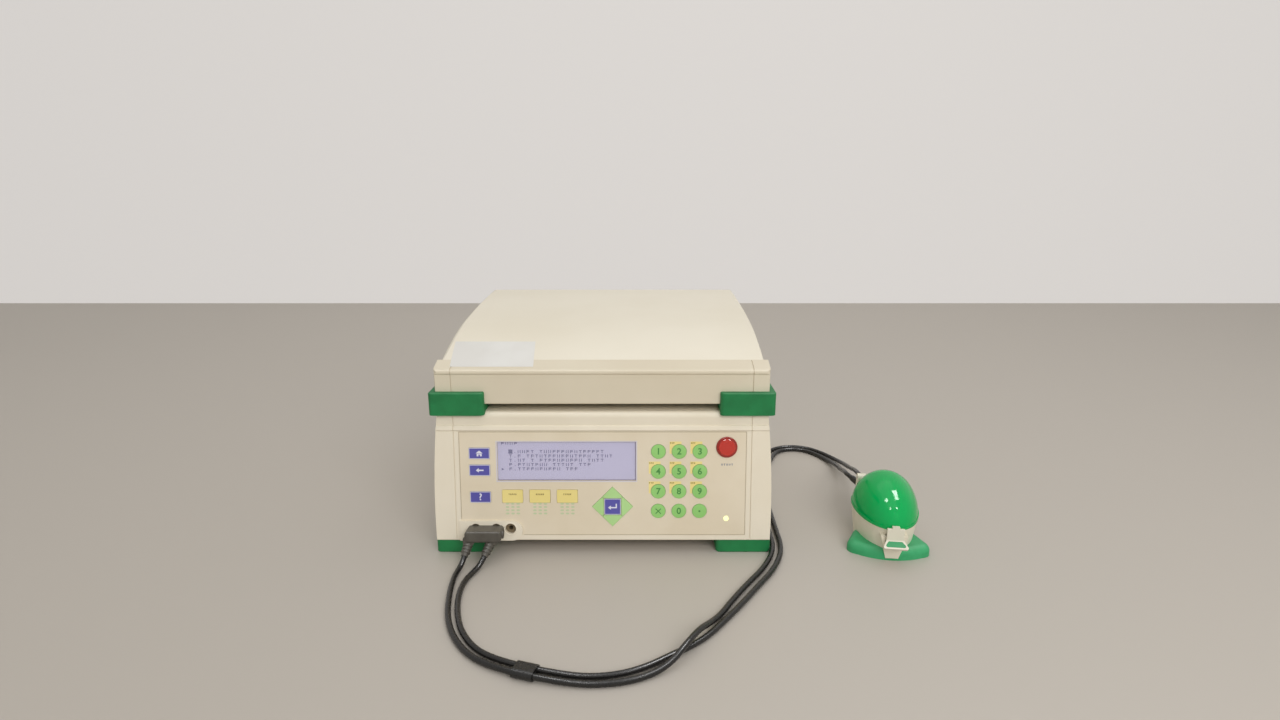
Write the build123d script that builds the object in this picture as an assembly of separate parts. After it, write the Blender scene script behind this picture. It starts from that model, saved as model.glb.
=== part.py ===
from build123d import *
import os
from math import cos, pi, radians, sin, tan

os.makedirs("parts", exist_ok=True)

# Bench electroporator, in millimetres. While it is built, X is to the right, Y to the back from
# the bottom front edge of the generator, and Z up from the table. At the end everything moves so
# that the origin is the middle of the base of the object without its leads.

# driving dimensions: general
sheet = 2.0                  # wall of the covers, trays and panels
wall = 3.0                   # wall of the front mouldings
rim_flange = 8.0             # rim at the back of each moulding and cover
gap = 0.3                    # clearance between loose neighbours
touch_gap = 0.25             # clearance round the keys
running_gap = 0.05           # radial clearance of a pin in its bore
beyond = 400.0               # past every piece, for cuts that go right through

# driving dimensions: generator
unit_depth = 300.0
foot_height = 12.5
cover_half_width = 148.0
cover_drop = 0.4             # of the covers' skin below the front mouldings
bezel_depth = 34.0           # depth of both front mouldings
face_lean = 6.5              # degrees that the keypad face leans back
face_height = 104.0          # of the keypad face, along its slope
ridge_height = 5.0
ridge_proud = 1.0
band_setback = 13.0          # of the upright band above the keypad face
band_height = 7.5
top_lip = 5.0                # rounding of the top front edge
cheek_top_half = cover_half_width + 2.2
cheek_mid_half = cover_half_width + 7.0       # the side cheeks swell outwards
cheek_mid_height = 42.0
cheek_bottom_half = cover_half_width + 6.4
seam_offset = cover_half_width - 12.2         # shadow line between a cheek and the middle
seam_size = 0.8

# driving dimensions: keypad, with x from the middle and v up the slope from the bottom edge
overlay_thickness = 0.8
overlay_half_width = cover_half_width - 16.7
overlay_low = 5.2
overlay_high = face_height - 0.4
key_proud = 0.35
key_sink = 0.5
key_travel = 0.5
key_spare = 0.2
digit_diameter = 13.3
digit_pitch_x = 19.0
digit_pitch_v = 18.8
digit_left = 50.8
digit_low = 28.5
menu_key_size = (19.0, 10.4)
menu_key_x = -112.8
menu_key_v = {"key_home": 83.2, "key_back": 67.3, "key_help": 41.8}
soft_key_size = (19.0, 12.2)
soft_key_left = -83.3
soft_key_pitch = 25.2
soft_key_v = 42.6
arrow_x = 8.7
arrow_v = 32.7
arrow_reach = 18.8
enter_size = 15.2
window_size = (127.0, 36.7)
window_centre = (-33.1, 75.6)
window_ledge = 1.8
window_thickness = 1.2
pulse_x = 113.2
pulse_v = 89.0
pulse_bore = 16.0
pulse_travel = 2.5
collar_diameter = 19.2
collar_proud = 1.4
lamp_x = 113.5
lamp_v = 21.3
lamp_diameter = 5.0
tongue_left = -overlay_half_width - 1.3
tongue_right = -74.6
tongue_low = 0.6
tongue_high = 19.4
tongue_proud = 2.0
jack_pitch = 19.0            # of the pair that takes the plug
jack_pair_x = -108.2
jack_spare_x = -85.6
jack_v = 12.0
jack_hole = 9.8
jack_bore = 4.1
jack_length = 15.0
jack_recess = 3.4
jack_nut = 6.2

# driving dimensions: inside the generator
display_thickness = 9.0
display_edge = 7.0           # frame round the screen
board_distance = 20.0        # from the keypad face to the control board
board_thickness = 1.6
board_edge = 8.0             # from its posts to its edges
post_margin = 5.0            # from the middle of a post to what it passes
switch_radius = 5.0
spacer_diameter = 6.0
transformer_size = (72.0, 58.0, 60.0)
transformer_place = (84.0, 190.0)
capacitor_diameter = 35.0
capacitor_height = 82.0
capacitor_columns = 3
capacitor_rows = 2
capacitor_pitch = 42.0
capacitor_place = (-62.0, 150.0)

# driving dimensions: back of the generator
panel_setback = 1.5
inlet_plate = (31.0, 66.0)
inlet_place = (104.0, 62.0)
inlet_mouth = (24.4, 16.4)
inlet_body = (27.4, 19.6)
inlet_depth = 19.0
inlet_pin = (2.0, 4.0)
inlet_pin_pitch = 7.0
rocker_size = (13.0, 19.0)
rocker_tilt = 9.0
rocker_throw = 18.0
rocker_pivot_radius = 1.5
rocker_pivot_depth = 5.0
vent_count = 14
vent_size = (2.4, 34.0)
vent_pitch = 6.4
vent_place = (-60.0, 74.0)
screw_head = 5.6
screw_shank = 3.0
screw_hole = 3.4
screw_head_height = 1.8

# driving dimensions: module
stack_gap = 7.3              # between the generator's top and the module
module_face_height = 32.0
module_front = 14.0
module_back = unit_depth - 16.0
module_half_width = cover_half_width + 3.0
module_corner = 4.0
lip_proud = 1.2
lip_height = 4.2
arch_front = (28.0, 4.4)     # Y, and rise over the front face, of points on the arched top
arch_middle = (130.0, 23.6)
arch_back_rise = 29.9
arch_edge_radius = 3.5
resistor_board_size = (180.0, 120.0)
resistor_count = 5
resistor_diameter = 12.0
resistor_length = 70.0

# driving dimensions: green feet and boots
foot_half_outer = cover_half_width + 7.4
foot_width = 50.6
foot_length = 52.0
rear_foot_end = unit_depth - 8.0
boot_half_outer = module_half_width + 5.2
boot_width = 49.8
boot_front = 8.2
boot_length = 52.0
boot_height = 21.1
boot_lap = 1.7               # over the generator's top edge
boot_rear_end = module_back + 6.0
boot_radius = 4.0

# driving dimensions: cuvette chamber, in its own frame with its front towards -Y
pod_place = (269.8, 36.3)
pod_turn = 6.8               # degrees clockwise seen from above
rim_height = 32.2            # of the rim, at the middle
rim_tilt = 0.5               # degrees that the rim falls towards the front
egg_half_width = 29.9
egg_front = 51.9
egg_rear = 29.3
egg_widest = -2.4            # Y of the widest place
lid_wall = 2.0
lid_rise = 34.6
lid_band = 2.6
lid_band_proud = 0.5
lip_reach = 1.5              # of the lid's lip under the hook
lid_range = 100.0
hull_wall = 3.4
hull_base_scale = 0.86
hull_base = 1.0
cavity_floor = 18.0
cavity_scale = 0.78
keel_base_half = 5.4
keel_top_half = 12.0
keel_drop = 6.0              # of its top below the rim
keel_setback = 3.3           # of its foot behind the rim
housing_half = 20.6
housing_depth = 14.0
housing_low = 12.0
hinge_rise = 14.0            # over the rim
hinge_back = 1.6             # behind the rim
hinge_radius = 1.5
knuckle_radius = 3.4
knuckle_half = 12.4
knuckle_reach = 10.0         # forward into the dome
lug_radius = 4.4
pod_foot_height = 11.0
pod_foot_round = 7.0
pod_foot_tip = (39.5, -38.5)
pod_foot_nose = -57.6        # where its two front edges would meet
pod_foot_waist = (22.0, -2.0)
latch_width = 15.0
latch_drop = 10.0            # of its pivot below the rim
latch_pin_radius = 1.0
latch_knuckle = 2.4
latch_range = 12.0
latch_plate = 2.2
latch_stand = 4.2            # of its front before the rim
hook_width = 6.4
hook_lap = 0.7               # of the hook over the lid's lip
press_tilt = 52.0            # degrees that the press pad leans back from upright
press_length = 8.6
press_half = 11.6
press_rim = 1.5
pad_thickness = 0.9
holder_size = (24.0, 30.0, 17.0)
cuvette_slot = 12.7
slot_floor = 4.0
contact_thickness = 1.0

# driving dimensions: leads
cord_diameter = 4.8
plug_size = (33.0, 10.4, 17.0)
plug_drop = 1.8              # of its body's middle below its pins
shoulder_size = (10.5, 8.0)
plug_pin = 4.0
relief_base = 8.4
relief_tip = 6.2
relief_rings = 4
sleeve_length = 16.0

lean_sin = sin(radians(face_lean))
lean_cos = cos(radians(face_lean))
bottom = foot_height
face_plane = Plane(origin=(0, 0, bottom), x_dir=(1, 0, 0), z_dir=(0, -lean_cos, lean_sin))
face_top = (face_height * lean_sin, bottom + face_height * lean_cos)
band_low = face_top[1] + ridge_height
band_top = band_low + band_height
main_top = band_top + top_lip
cover_top = main_top - cover_drop
module_bottom = main_top + stack_gap
module_face_top = module_bottom + module_face_height
boot_bottom = main_top - boot_lap
slope = cos(radians(rim_tilt))
rim_front = (egg_widest - egg_front) * slope
rim_rear = (egg_widest + egg_rear) * slope
hinge_y = rim_rear + hinge_back
hinge_z = rim_height + hinge_rise
housing_back = hinge_y + lug_radius + 1.6
housing_top = hinge_z - knuckle_radius - 2 * gap
latch_pivot = (rim_front + 1.9, rim_height - latch_drop)
latch_pin_length = latch_width + 4.4
latch_front = rim_front - latch_stand
entry_z = housing_top - 7.0


def on_face(sketch, low, high):
    """A plate on the keypad face, from depth low to depth high, outwards positive."""
    return extrude(face_plane.offset(low) * sketch, high - low)


def at(x, v):
    return Pos(x, v, 0)


def rounded(width, height, radius):
    return RectangleRounded(width, height, radius)


def slab(x, y, z):
    """A box from three (low, high) pairs."""
    size = [high - low for low, high in (x, y, z)]
    middle = [(high + low) / 2 for low, high in (x, y, z)]
    return Pos(*middle) * Box(*size)


def side_prism(outline, half_width):
    """A (Y, Z) outline drawn out to both sides."""
    return extrude(Plane.YZ * outline, half_width, both=True)


def closed(points, radii):
    return make_face(FilletPolyline(*points, radius=radii, close=True))


# ---------------- generator: front moulding ----------------

def main_profile():
    points = [
        (0, bottom),
        face_top,
        (face_top[0] - ridge_proud, face_top[1] + ridge_proud),
        (band_setback - ridge_proud, band_low),
        (band_setback, band_low),
        (band_setback, main_top),
        (bezel_depth, main_top),
        (bezel_depth, bottom),
    ]
    return closed(points, [1.2, 0, 0.8, 0.8, 0, top_lip, 0, 0])


def cheek_outline():
    """The front view of the moulding, with the sides swelling outwards."""
    right = Spline((cheek_bottom_half, bottom), (cheek_mid_half, cheek_mid_height),
                   (cheek_top_half, main_top))
    top = Line((cheek_top_half, main_top), (-cheek_top_half, main_top))
    left = Spline((-cheek_top_half, main_top), (-cheek_mid_half, cheek_mid_height),
                  (-cheek_bottom_half, bottom))
    base = Line((-cheek_bottom_half, bottom), (cheek_bottom_half, bottom))
    return make_face([right, top, left, base])


def seams(profile, half_span):
    """Shallow upright grooves where the cheeks meet the middle of a moulding."""
    skin = side_prism(profile - offset(profile, -seam_size), seam_size / 2)
    front = slab((-1, 1), (-20, bezel_depth - 1), (bottom + 2, beyond))
    groove = skin & front
    return Pos(half_span, 0, 0) * groove + Pos(-half_span, 0, 0) * groove


def tongue_sketch(grow=0.0):
    """The jack tongue: square at the left, round at the right."""
    height = tongue_high - tongue_low
    radius = height / 2
    straight = tongue_right - radius - tongue_left
    body = Rectangle(straight, height + 2 * grow, align=(Align.MIN, Align.CENTER))
    shape = body + Pos(straight, 0) * Circle(radius + grow)
    return at(tongue_left, tongue_low + radius) * shape


def jack_places():
    pair = [jack_pair_x - jack_pitch / 2, jack_pair_x + jack_pitch / 2]
    return [(x, jack_v) for x in pair + [jack_spare_x]]


def digit_places():
    rows = ["key_clear key_0 key_point", "key_7 key_8 key_9", "key_4 key_5 key_6", "key_1 key_2 key_3"]
    places = {}
    for row, names in enumerate(rows):
        for column, name in enumerate(names.split()):
            x = digit_left + column * digit_pitch_x
            places[name] = (x, digit_low + row * digit_pitch_v)
    return places


def arrow_outline(grow):
    """One arrow key, pointing up, beside the square enter key."""
    inner = enter_size / 2 + 2 * touch_gap - grow
    side = touch_gap / 0.7071 - grow
    reach = arrow_reach + grow
    corner = (reach - side) / 2
    points = [(inner - side, inner), (corner, corner + side), (0, reach), (-corner, corner + side),
              (side - inner, inner)]
    return make_face(Polyline(*points, close=True))


def key_outlines(grow=0.0):
    """Every key's outline on the face, by node name."""
    outlines = {}
    for name, (x, v) in digit_places().items():
        outlines[name] = at(x, v) * Circle(digit_diameter / 2 + grow)
    for name, v in menu_key_v.items():
        width, height = menu_key_size
        outlines[name] = at(menu_key_x, v) * rounded(width + 2 * grow, height + 2 * grow, 1.0)
    for i in range(3):
        width, height = soft_key_size
        x = soft_key_left + i * soft_key_pitch
        outlines[f"key_soft_{i + 1}"] = at(x, soft_key_v) * rounded(width + 2 * grow, height + 2 * grow, 1.0)
    square = enter_size + 2 * grow
    outlines["key_enter"] = at(arrow_x, arrow_v) * rounded(square, square, 1.0)
    for turn, name in enumerate(["key_up", "key_left", "key_down", "key_right"]):
        outlines[name] = at(arrow_x, arrow_v) * Rot(0, 0, 90 * turn) * arrow_outline(grow)
    return outlines


def main_bezel():
    profile = main_profile()
    shell = side_prism(profile, cheek_mid_half + 2) & extrude(Plane.XZ * cheek_outline(), -2 * bezel_depth)
    inside = [
        (wall / lean_cos + wall * lean_sin, bottom + wall),
        (face_top[0] + wall / lean_cos, face_top[1]),
        (band_setback + wall, band_low),
        (band_setback + wall, main_top - wall),
        (bezel_depth - wall, main_top - wall),
        (bezel_depth - wall, bottom + wall),
    ]
    hollow = side_prism(closed(inside, [0, 0, 0, 2.5, 0, 0]), cheek_top_half - wall)
    mouth_half = cover_half_width - rim_flange
    mouth = slab((-mouth_half, mouth_half), (bezel_depth - 2 * wall, bezel_depth + 1),
                 (bottom + rim_flange, main_top - rim_flange))
    shell = shell - hollow - mouth - seams(profile, seam_offset)
    shell -= on_face(overlay_sketch(touch_gap * 0.4), -overlay_thickness, 1)
    shell += on_face(tongue_sketch(), -overlay_thickness, tongue_proud)
    deep = -(wall + 12)
    for x, v in jack_places():
        shell -= on_face(at(x, v) * Circle(jack_hole / 2), deep, tongue_proud + 1)
    window_back = -(overlay_thickness + window_thickness)
    width, height = window_size
    ledge = 2 * window_ledge
    shell -= on_face(at(*window_centre) * Rectangle(width + ledge, height + ledge), window_back, 0)
    shell -= on_face(at(*window_centre) * Rectangle(width, height), deep, 0)
    shell -= on_face(at(pulse_x, pulse_v) * Circle(pulse_bore / 2), deep, 0)
    shell -= on_face(at(lamp_x, lamp_v) * Circle(lamp_diameter / 2), deep, 0)
    pocket = -(overlay_thickness + key_sink + key_travel + key_spare)
    for outline in key_outlines(touch_gap).values():
        shell -= on_face(outline, pocket, 0)
    return shell


def overlay_sketch(grow=0.0):
    height = overlay_high - overlay_low
    plate = at(0, overlay_low + height / 2) * Rectangle(2 * (overlay_half_width + grow), height + 2 * grow)
    return plate - tongue_sketch(gap - grow)


def keypad_overlay():
    film = overlay_sketch() - at(*window_centre) * Rectangle(*window_size)
    film -= at(pulse_x, pulse_v) * Circle(collar_diameter / 2 + gap / 2)
    film -= at(lamp_x, lamp_v) * Circle(lamp_diameter / 2 + gap / 2)
    for outline in key_outlines(touch_gap).values():
        film -= outline
    return on_face(film, -overlay_thickness, 0)


def key_pad(outline):
    return on_face(outline, -(overlay_thickness + key_sink), key_proud)


def display_window():
    width, height = window_size
    side = 2 * (window_ledge - gap / 3)
    pane = at(*window_centre) * Rectangle(width + side, height + side)
    return on_face(pane, -(overlay_thickness + window_thickness), -overlay_thickness)


def display_module():
    width, height = window_size
    edge = 2 * display_edge
    frame = on_face(at(*window_centre) * Rectangle(width + edge, height + edge), -(wall + display_thickness), -wall)
    screen = at(*window_centre) * Rectangle(width - gap, height - gap)
    return frame + on_face(screen, -wall - 1, -(overlay_thickness + window_thickness + gap))


def post_places():
    """Posts of the control board: beside the display, the pulse button and the jacks."""
    left = window_centre[0] - window_size[0] / 2 - display_edge - post_margin
    right = pulse_x - pulse_bore / 2 - post_margin
    low = jack_v + jack_nut + post_margin
    high = window_centre[1] + window_size[1] / 2 - post_margin
    return left, right, low, high


def control_board():
    left, right, low, high = post_places()
    edge = pulse_x + switch_radius + 2
    middle = at((left - board_edge + edge) / 2, (low + high) / 2)
    far = -(board_distance + board_thickness)
    outline = middle * Rectangle(edge - left + board_edge, high - low + 2 * board_edge)
    board = on_face(outline, far, -board_distance)
    for x in (left, right):
        for v in (low, high):
            board += on_face(at(x, v) * Circle(spacer_diameter / 2), -board_distance - 0.5, -wall)
    switch_top = pulse_base() - pulse_travel - key_spare
    board += on_face(at(pulse_x, pulse_v) * Circle(switch_radius), -board_distance - 0.5, switch_top)
    return board


def pulse_base():
    """How far behind the face the pulse button ends."""
    return -(wall + 3.0)


def pulse_collar():
    ring = at(pulse_x, pulse_v) * (Circle(collar_diameter / 2) - Circle(pulse_bore / 2))
    collar = on_face(ring, -overlay_thickness, collar_proud)
    return chamfer(collar.edges().group_by(SortBy.LENGTH)[-1].sort_by(face_z)[-1], 0.5)


def face_z(item):
    """Height of an item's centre above the keypad face."""
    return face_plane.to_local_coords(item.center()).Z


def pulse_button():
    place = at(pulse_x, pulse_v)
    radius = pulse_bore / 2 - touch_gap * 0.6
    cap = on_face(place * Circle(radius), pulse_base(), collar_proud + 0.8)
    return chamfer(cap.edges().sort_by(face_z)[-1], 0.6)


def status_lamp():
    place = at(lamp_x, lamp_v)
    lens = on_face(place * Circle(lamp_diameter / 2 - gap / 3), -wall, 0.2)
    flange = on_face(place * Circle(lamp_diameter / 2 + 1.2), -wall - 1.5, -wall)
    return lens + flange


def output_jacks():
    """Three sleeves from behind the tongue, each with its nut."""
    sleeves = []
    for x, v in jack_places():
        place = at(x, v)
        front = tongue_proud - jack_recess
        sleeve = on_face(place * Circle(jack_hole / 2 - 0.1), front - jack_length, front)
        sleeve += on_face(place * RegularPolygon(jack_nut, 6), -wall - 3, -wall)
        sleeve -= on_face(place * Circle(jack_bore / 2), front - jack_length + 2, front + 1)
        sleeves.append(sleeve)
    return Compound(sleeves)


# ---------------- generator: covers and inside ----------------

def main_cover():
    half = cover_half_width
    outer = slab((-half, half), (bezel_depth, unit_depth), (bottom, cover_top))
    top_edges = outer.edges().filter_by(Axis.Y).group_by(Axis.Z)[-1]
    outer = fillet(top_edges, 5)
    back = unit_depth - panel_setback
    inner = slab((sheet - half, half - sheet), (bezel_depth - 1, back - 2 * sheet),
                 (bottom - 1, cover_top - sheet))
    inner_edges = inner.edges().filter_by(Axis.Y).group_by(Axis.Z)[-1]
    inner = fillet(inner_edges, 3)
    mouth_half = half - rim_flange
    mouth = slab((-mouth_half, mouth_half), (back - 4 * sheet, unit_depth + 1),
                 (bottom - 1, main_top - rim_flange))
    recess = slab((sheet - half, half - sheet), (back - sheet, unit_depth + 1),
                  (bottom - 1, cover_top - sheet))
    sill = slab((sheet - half, half - sheet), (bezel_depth - 1, unit_depth + 1), (bottom - 1, bottom + sheet + gap))
    return outer - inner - mouth - recess - sill - screw_holes(main_screws(), screw_hole)


def main_screws():
    """X and Z of the screws in the generator's rear panel."""
    x = cover_half_width - rim_flange / 2 - sheet / 2
    return [(side * x, z) for side in (-1, 1) for z in (bottom + 16, main_top - 16)] + [(0, main_top - 6)]


def module_screws():
    x = cover_half_width - rim_flange / 2 - sheet / 2
    return [(side * x, module_bottom + 24) for side in (-1, 1)] + [(0, arch_top - 6)]


def screw_holes(places, diameter):
    holes = [Pos(x, unit_depth, z) * Rot(90, 0, 0) * Cylinder(diameter / 2, 80) for x, z in places]
    return Compound(holes)


def main_tray():
    half = cover_half_width - sheet - gap / 2
    back = unit_depth - panel_setback - sheet
    floor = slab((-half, half), (bezel_depth + gap, back), (bottom, bottom + sheet))
    for side in (-1, 1):
        edge = slab(sorted((side * half, side * (half - sheet))), (bezel_depth + gap, back - 2 * sheet),
                    (bottom, bottom + 14))
        floor += edge
    return floor


def main_rear_panel():
    half = cover_half_width - sheet - gap / 2
    front = unit_depth - panel_setback - sheet
    plate = slab((-half, half), (front, front + sheet), (bottom, cover_top - sheet - gap / 2))
    holes = [Pos(x, unit_depth, z) * Rot(90, 0, 0) * Cylinder(screw_hole / 2, 10) for x, z in main_screws()]
    x, z = inlet_place
    width, height = inlet_plate
    opening = slab((x - width / 2 + 1.5, x + width / 2 - 1.5), (front - 1, unit_depth + 1),
                   (z - height / 2 + 6, z + height / 2 - 6))
    plate = plate - holes - opening
    first = vent_place[0] - (vent_count - 1) * vent_pitch / 2
    slot = extrude(Plane.XZ * SlotOverall(vent_size[1], vent_size[0], rotation=90), -10)
    for i in range(vent_count):
        plate -= Pos(first + i * vent_pitch, front - 3, vent_place[1]) * slot
    return plate


def case_screws():
    """Pan head screws in the two rear panels."""
    screws = []
    sets = [(main_screws(), unit_depth - panel_setback), (module_screws(), module_back - panel_setback)]
    for places, seat in sets:
        for x, z in places:
            head = Pos(x, seat + screw_head_height / 2, z) * Rot(90, 0, 0)
            screw = head * Cylinder(screw_head / 2, screw_head_height)
            screw = chamfer(screw.edges().sort_by(Axis.Y)[-1], 0.6)
            shank = Pos(x, seat - 2.5, z) * Rot(90, 0, 0) * Cylinder(screw_shank / 2, 5.4)
            screws.append(screw + shank)
    return Compound(screws)


def power_inlet():
    """Mains entry module: a plate with the inlet below and the rocker's well above."""
    x, z = inlet_place
    width, height = inlet_plate
    seat = unit_depth - panel_setback
    plate = extrude(Plane.XZ * rounded(width, height, 3), -sheet)
    low = -height / 2 + 6 + inlet_body[1] / 2 + 1
    box = extrude(Plane.XZ * Pos(0, low) * rounded(inlet_body[0], inlet_body[1], 2), inlet_depth)
    well_z = height / 2 - 8 - rocker_size[1] / 2
    well = extrude(Plane.XZ * Pos(0, well_z) * rounded(rocker_size[0] + 3, rocker_size[1] + 3, 1), 12)
    body = plate + box + well
    mouth = Pos(0, low) * rounded(inlet_mouth[0], inlet_mouth[1], 2.5)
    cavity = extrude(Plane.XZ * mouth, inlet_depth - 2.5) + extrude(Plane.XZ * mouth, -sheet - 1)
    window = Pos(0, well_z) * Rectangle(rocker_size[0] + 2 * gap, rocker_size[1] + 2 * gap)
    hole = extrude(Plane.XZ * window, 10) + extrude(Plane.XZ * window, -sheet - 1)
    body = body - cavity - hole
    for i, rise in ((-1, -2), (0, 2), (1, -2)):
        pin = Pos(i * inlet_pin_pitch, low + rise) * Rectangle(*inlet_pin)
        body += extrude(Plane.XZ * pin, inlet_depth - 2) - slab((-50, 50), (-4, 50), (-50, 50))
    axle = Pos(0, -rocker_pivot_depth, well_z) * Rot(0, 90, 0) * Cylinder(rocker_pivot_radius, rocker_size[0] + 2)
    return Pos(x, seat, z) * (body + axle)


def rocker_pivot():
    """The rocker's axis: its place in the generator's frame."""
    rise = inlet_plate[1] / 2 - 8 - rocker_size[1] / 2
    return (inlet_place[0], unit_depth - panel_setback - rocker_pivot_depth, inlet_place[1] + rise)


def power_rocker():
    """A rocker with two faces that meet in a shallow V, tilted to its off side."""
    half = rocker_size[1] / 2 - 1.2
    peak = rocker_pivot_depth + sheet + 0.4
    bend = tan(radians(rocker_tilt)) * half
    outline = [(peak, 0), (peak + bend, half), (-1.5, half - 1.5), (-3.5, 0), (-1.5, 1.5 - half), (peak + bend, -half)]
    rocker = extrude(Plane.YZ * closed(outline, [0, 0.6, 0.6, 0.6, 0.6, 0.6]), rocker_size[0] / 2, both=True)
    rocker -= Rot(0, 90, 0) * Cylinder(rocker_pivot_radius + running_gap, rocker_size[0] + 4)
    return Pos(*rocker_pivot()) * Rot(rocker_tilt, 0, 0) * rocker


def transformer():
    """Laminated core on two feet, with its coil."""
    length, width, height = transformer_size
    base = bottom + sheet
    core = Pos(0, 0, base + height / 2) * (Box(length, width * 0.5, height) - Box(length * 0.62, width, height * 0.62))
    limb = Pos(0, 0, base + height / 2) * Box(length * 0.26, width * 0.5, height)
    coil = Pos(0, 0, base + height / 2) * Box(length * 0.56, width, height * 0.56)
    coil = fillet(coil.edges().filter_by(Axis.Z), 6)
    feet = Pos(0, 0, base + 1) * Box(length + 16, width * 0.5, sheet)
    return Pos(*transformer_place, 0) * (core + limb + coil + feet)


def capacitor_bank():
    """Upright cans on one board."""
    x, y = capacitor_place
    base = bottom + sheet
    spread_x = capacitor_columns * capacitor_pitch
    spread_y = capacitor_rows * capacitor_pitch
    board = Pos(x, y, base + 6 + board_thickness / 2) * Box(spread_x + 6, spread_y + 6, board_thickness)
    for side_x in (-1, 1):
        for side_y in (-1, 1):
            foot = Pos(x + side_x * spread_x / 2, y + side_y * spread_y / 2, base + 3.5)
            board += foot * Cylinder(spacer_diameter / 2, 7)
    can = Cylinder(capacitor_diameter / 2, capacitor_height, align=(Align.CENTER, Align.CENTER, Align.MIN))
    can = chamfer(can.edges().sort_by(Axis.Z)[-1], 1.5)
    for spot in GridLocations(capacitor_pitch, capacitor_pitch, capacitor_columns, capacitor_rows):
        board += Pos(x, y, base + 6 + board_thickness / 2) * spot * can
    return board


# ---------------- module on top ----------------

def module_profile():
    lip_low = module_face_top - lip_height
    points = [
        (module_front, module_bottom),
        (module_front, lip_low),
        (module_front - lip_proud, lip_low + lip_proud),
        (module_front - lip_proud, module_face_top),
        on_arch(arch_front),
        (bezel_depth - wall, arch_height(bezel_depth - wall)),
        (bezel_depth - wall, module_bottom),
    ]
    return closed(points, [1.5, 0, 0.6, 2.5, 0, 0, 0])


arch_top = module_face_top + arch_back_rise


def on_arch(place):
    """Y and Z of a place that is given as Y and rise over the front face."""
    return (place[0], module_face_top + place[1])


def arch_lines():
    """The arched top as two arcs, flat at the back."""
    rear = TangentArc((module_back, arch_top), on_arch(arch_middle), tangent=(-1, 0))
    front = TangentArc(on_arch(arch_middle), on_arch(arch_front), tangent=rear % 1)
    return rear, front


def arch_height(y):
    """Z of the arched top at one Y of its front arc."""
    front = arch_lines()[1]
    low, high = 0.0, 1.0
    for _ in range(40):
        middle = (low + high) / 2
        if (front @ middle).X > y:
            low = middle
        else:
            high = middle
    return (front @ middle).Y


def module_bezel():
    profile = module_profile()
    plan = Rectangle(2 * module_half_width, 60, align=(Align.CENTER, Align.MIN))
    plan = fillet(plan.vertices().group_by(Axis.Y)[0], module_corner)
    plan = Pos(0, module_front - lip_proud, 0) * plan
    shell = side_prism(profile, module_half_width + 1) & extrude(plan, beyond)
    back = bezel_depth - wall
    hollow = slab((wall - module_half_width, module_half_width - wall), (module_front + wall, back - wall),
                  (module_bottom + wall, module_face_top - wall))
    mouth_half = cover_half_width - rim_flange
    mouth = slab((-mouth_half, mouth_half), (back - 2 * wall, back + 1),
                 (module_bottom + rim_flange, module_face_top - wall))
    groove = side_prism(profile - offset(profile, -seam_size), seam_size / 2)
    groove &= slab((-1, 1), (0, back - 1), (module_bottom + 2, beyond))
    grooves = Pos(seam_offset, 0, 0) * groove + Pos(-seam_offset, 0, 0) * groove
    return shell - hollow - mouth - grooves


def arch_body(inset, front, back, low):
    """The space under the arched top, inset from it on every side but the ends."""
    rear_arc, front_arc = arch_lines()
    front_top = on_arch(arch_front)
    start = (front_top[0], low)
    end = (module_back, low)
    outline = make_face([rear_arc, front_arc, Line(front_top, start), Line(start, end),
                         Line(end, (module_back, arch_top))])
    if inset:
        outline = Pos(0, -inset) * outline
    half = cover_half_width - inset
    body = side_prism(outline, half)
    radius = arch_edge_radius - inset
    top = [edge for edge in body.edges() if edge.geom_type == GeomType.CIRCLE]
    body = fillet(top, radius)
    return body & slab((-beyond, beyond), (front, back), (low, beyond))


def module_cover():
    start = bezel_depth - wall
    outer = arch_body(0, start, module_back, module_bottom)
    inner = arch_body(sheet, start - 1, module_back - panel_setback - 2 * sheet, module_bottom - 5)
    recess = arch_body(sheet, module_back - panel_setback - sheet, module_back + 1, module_bottom - 5)
    mouth_half = cover_half_width - rim_flange
    mouth = slab((-mouth_half, mouth_half), (module_back - 12, module_back + 1),
                 (module_bottom - 1, arch_top - rim_flange - 2))
    half = cover_half_width - sheet
    sill = slab((-half, half), (start - 1, module_back + 1), (module_bottom - 1, module_bottom + sheet + gap))
    return outer - inner - recess - mouth - sill - screw_holes(module_screws(), screw_hole)


def module_tray():
    """Floor and rear wall in one folded sheet."""
    half = cover_half_width - sheet - gap / 2
    front = module_back - panel_setback - sheet
    floor = slab((-half, half), (bezel_depth - wall + gap, front + sheet), (module_bottom, module_bottom + sheet))
    outline = arch_body(sheet + gap / 2, front, front + sheet, module_bottom)
    tray = floor + outline
    for side in (-1, 1):
        edge = sorted((side * half, side * (half - sheet)))
        tray += slab(edge, (bezel_depth + gap, front - 2 * sheet), (module_bottom, module_bottom + 14))
    holes = [Pos(x, module_back, z) * Rot(90, 0, 0) * Cylinder(screw_hole / 2, 10) for x, z in module_screws()]
    return tray - holes


def resistor_board():
    """Power resistors on a board over the module's tray."""
    width, depth = resistor_board_size
    base = module_bottom + sheet
    middle = (module_front + module_back) / 2
    board = Pos(0, middle, base + 6 + board_thickness / 2) * Box(width, depth, board_thickness)
    for side_x in (-1, 1):
        for side_y in (-1, 1):
            foot = Pos(side_x * (width / 2 - board_edge), middle + side_y * (depth / 2 - board_edge), base + 3.5)
            board += foot * Cylinder(spacer_diameter / 2, 7)
    pitch = resistor_diameter * 1.7
    for i in range(resistor_count):
        x = (i - (resistor_count - 1) / 2) * pitch
        lift = base + 6 + board_thickness + resistor_diameter / 2 - 0.5
        board += Pos(x, middle, lift) * Rot(90, 0, 0) * Cylinder(resistor_diameter / 2, resistor_length)
    return board


# ---------------- green feet and boots ----------------

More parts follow.
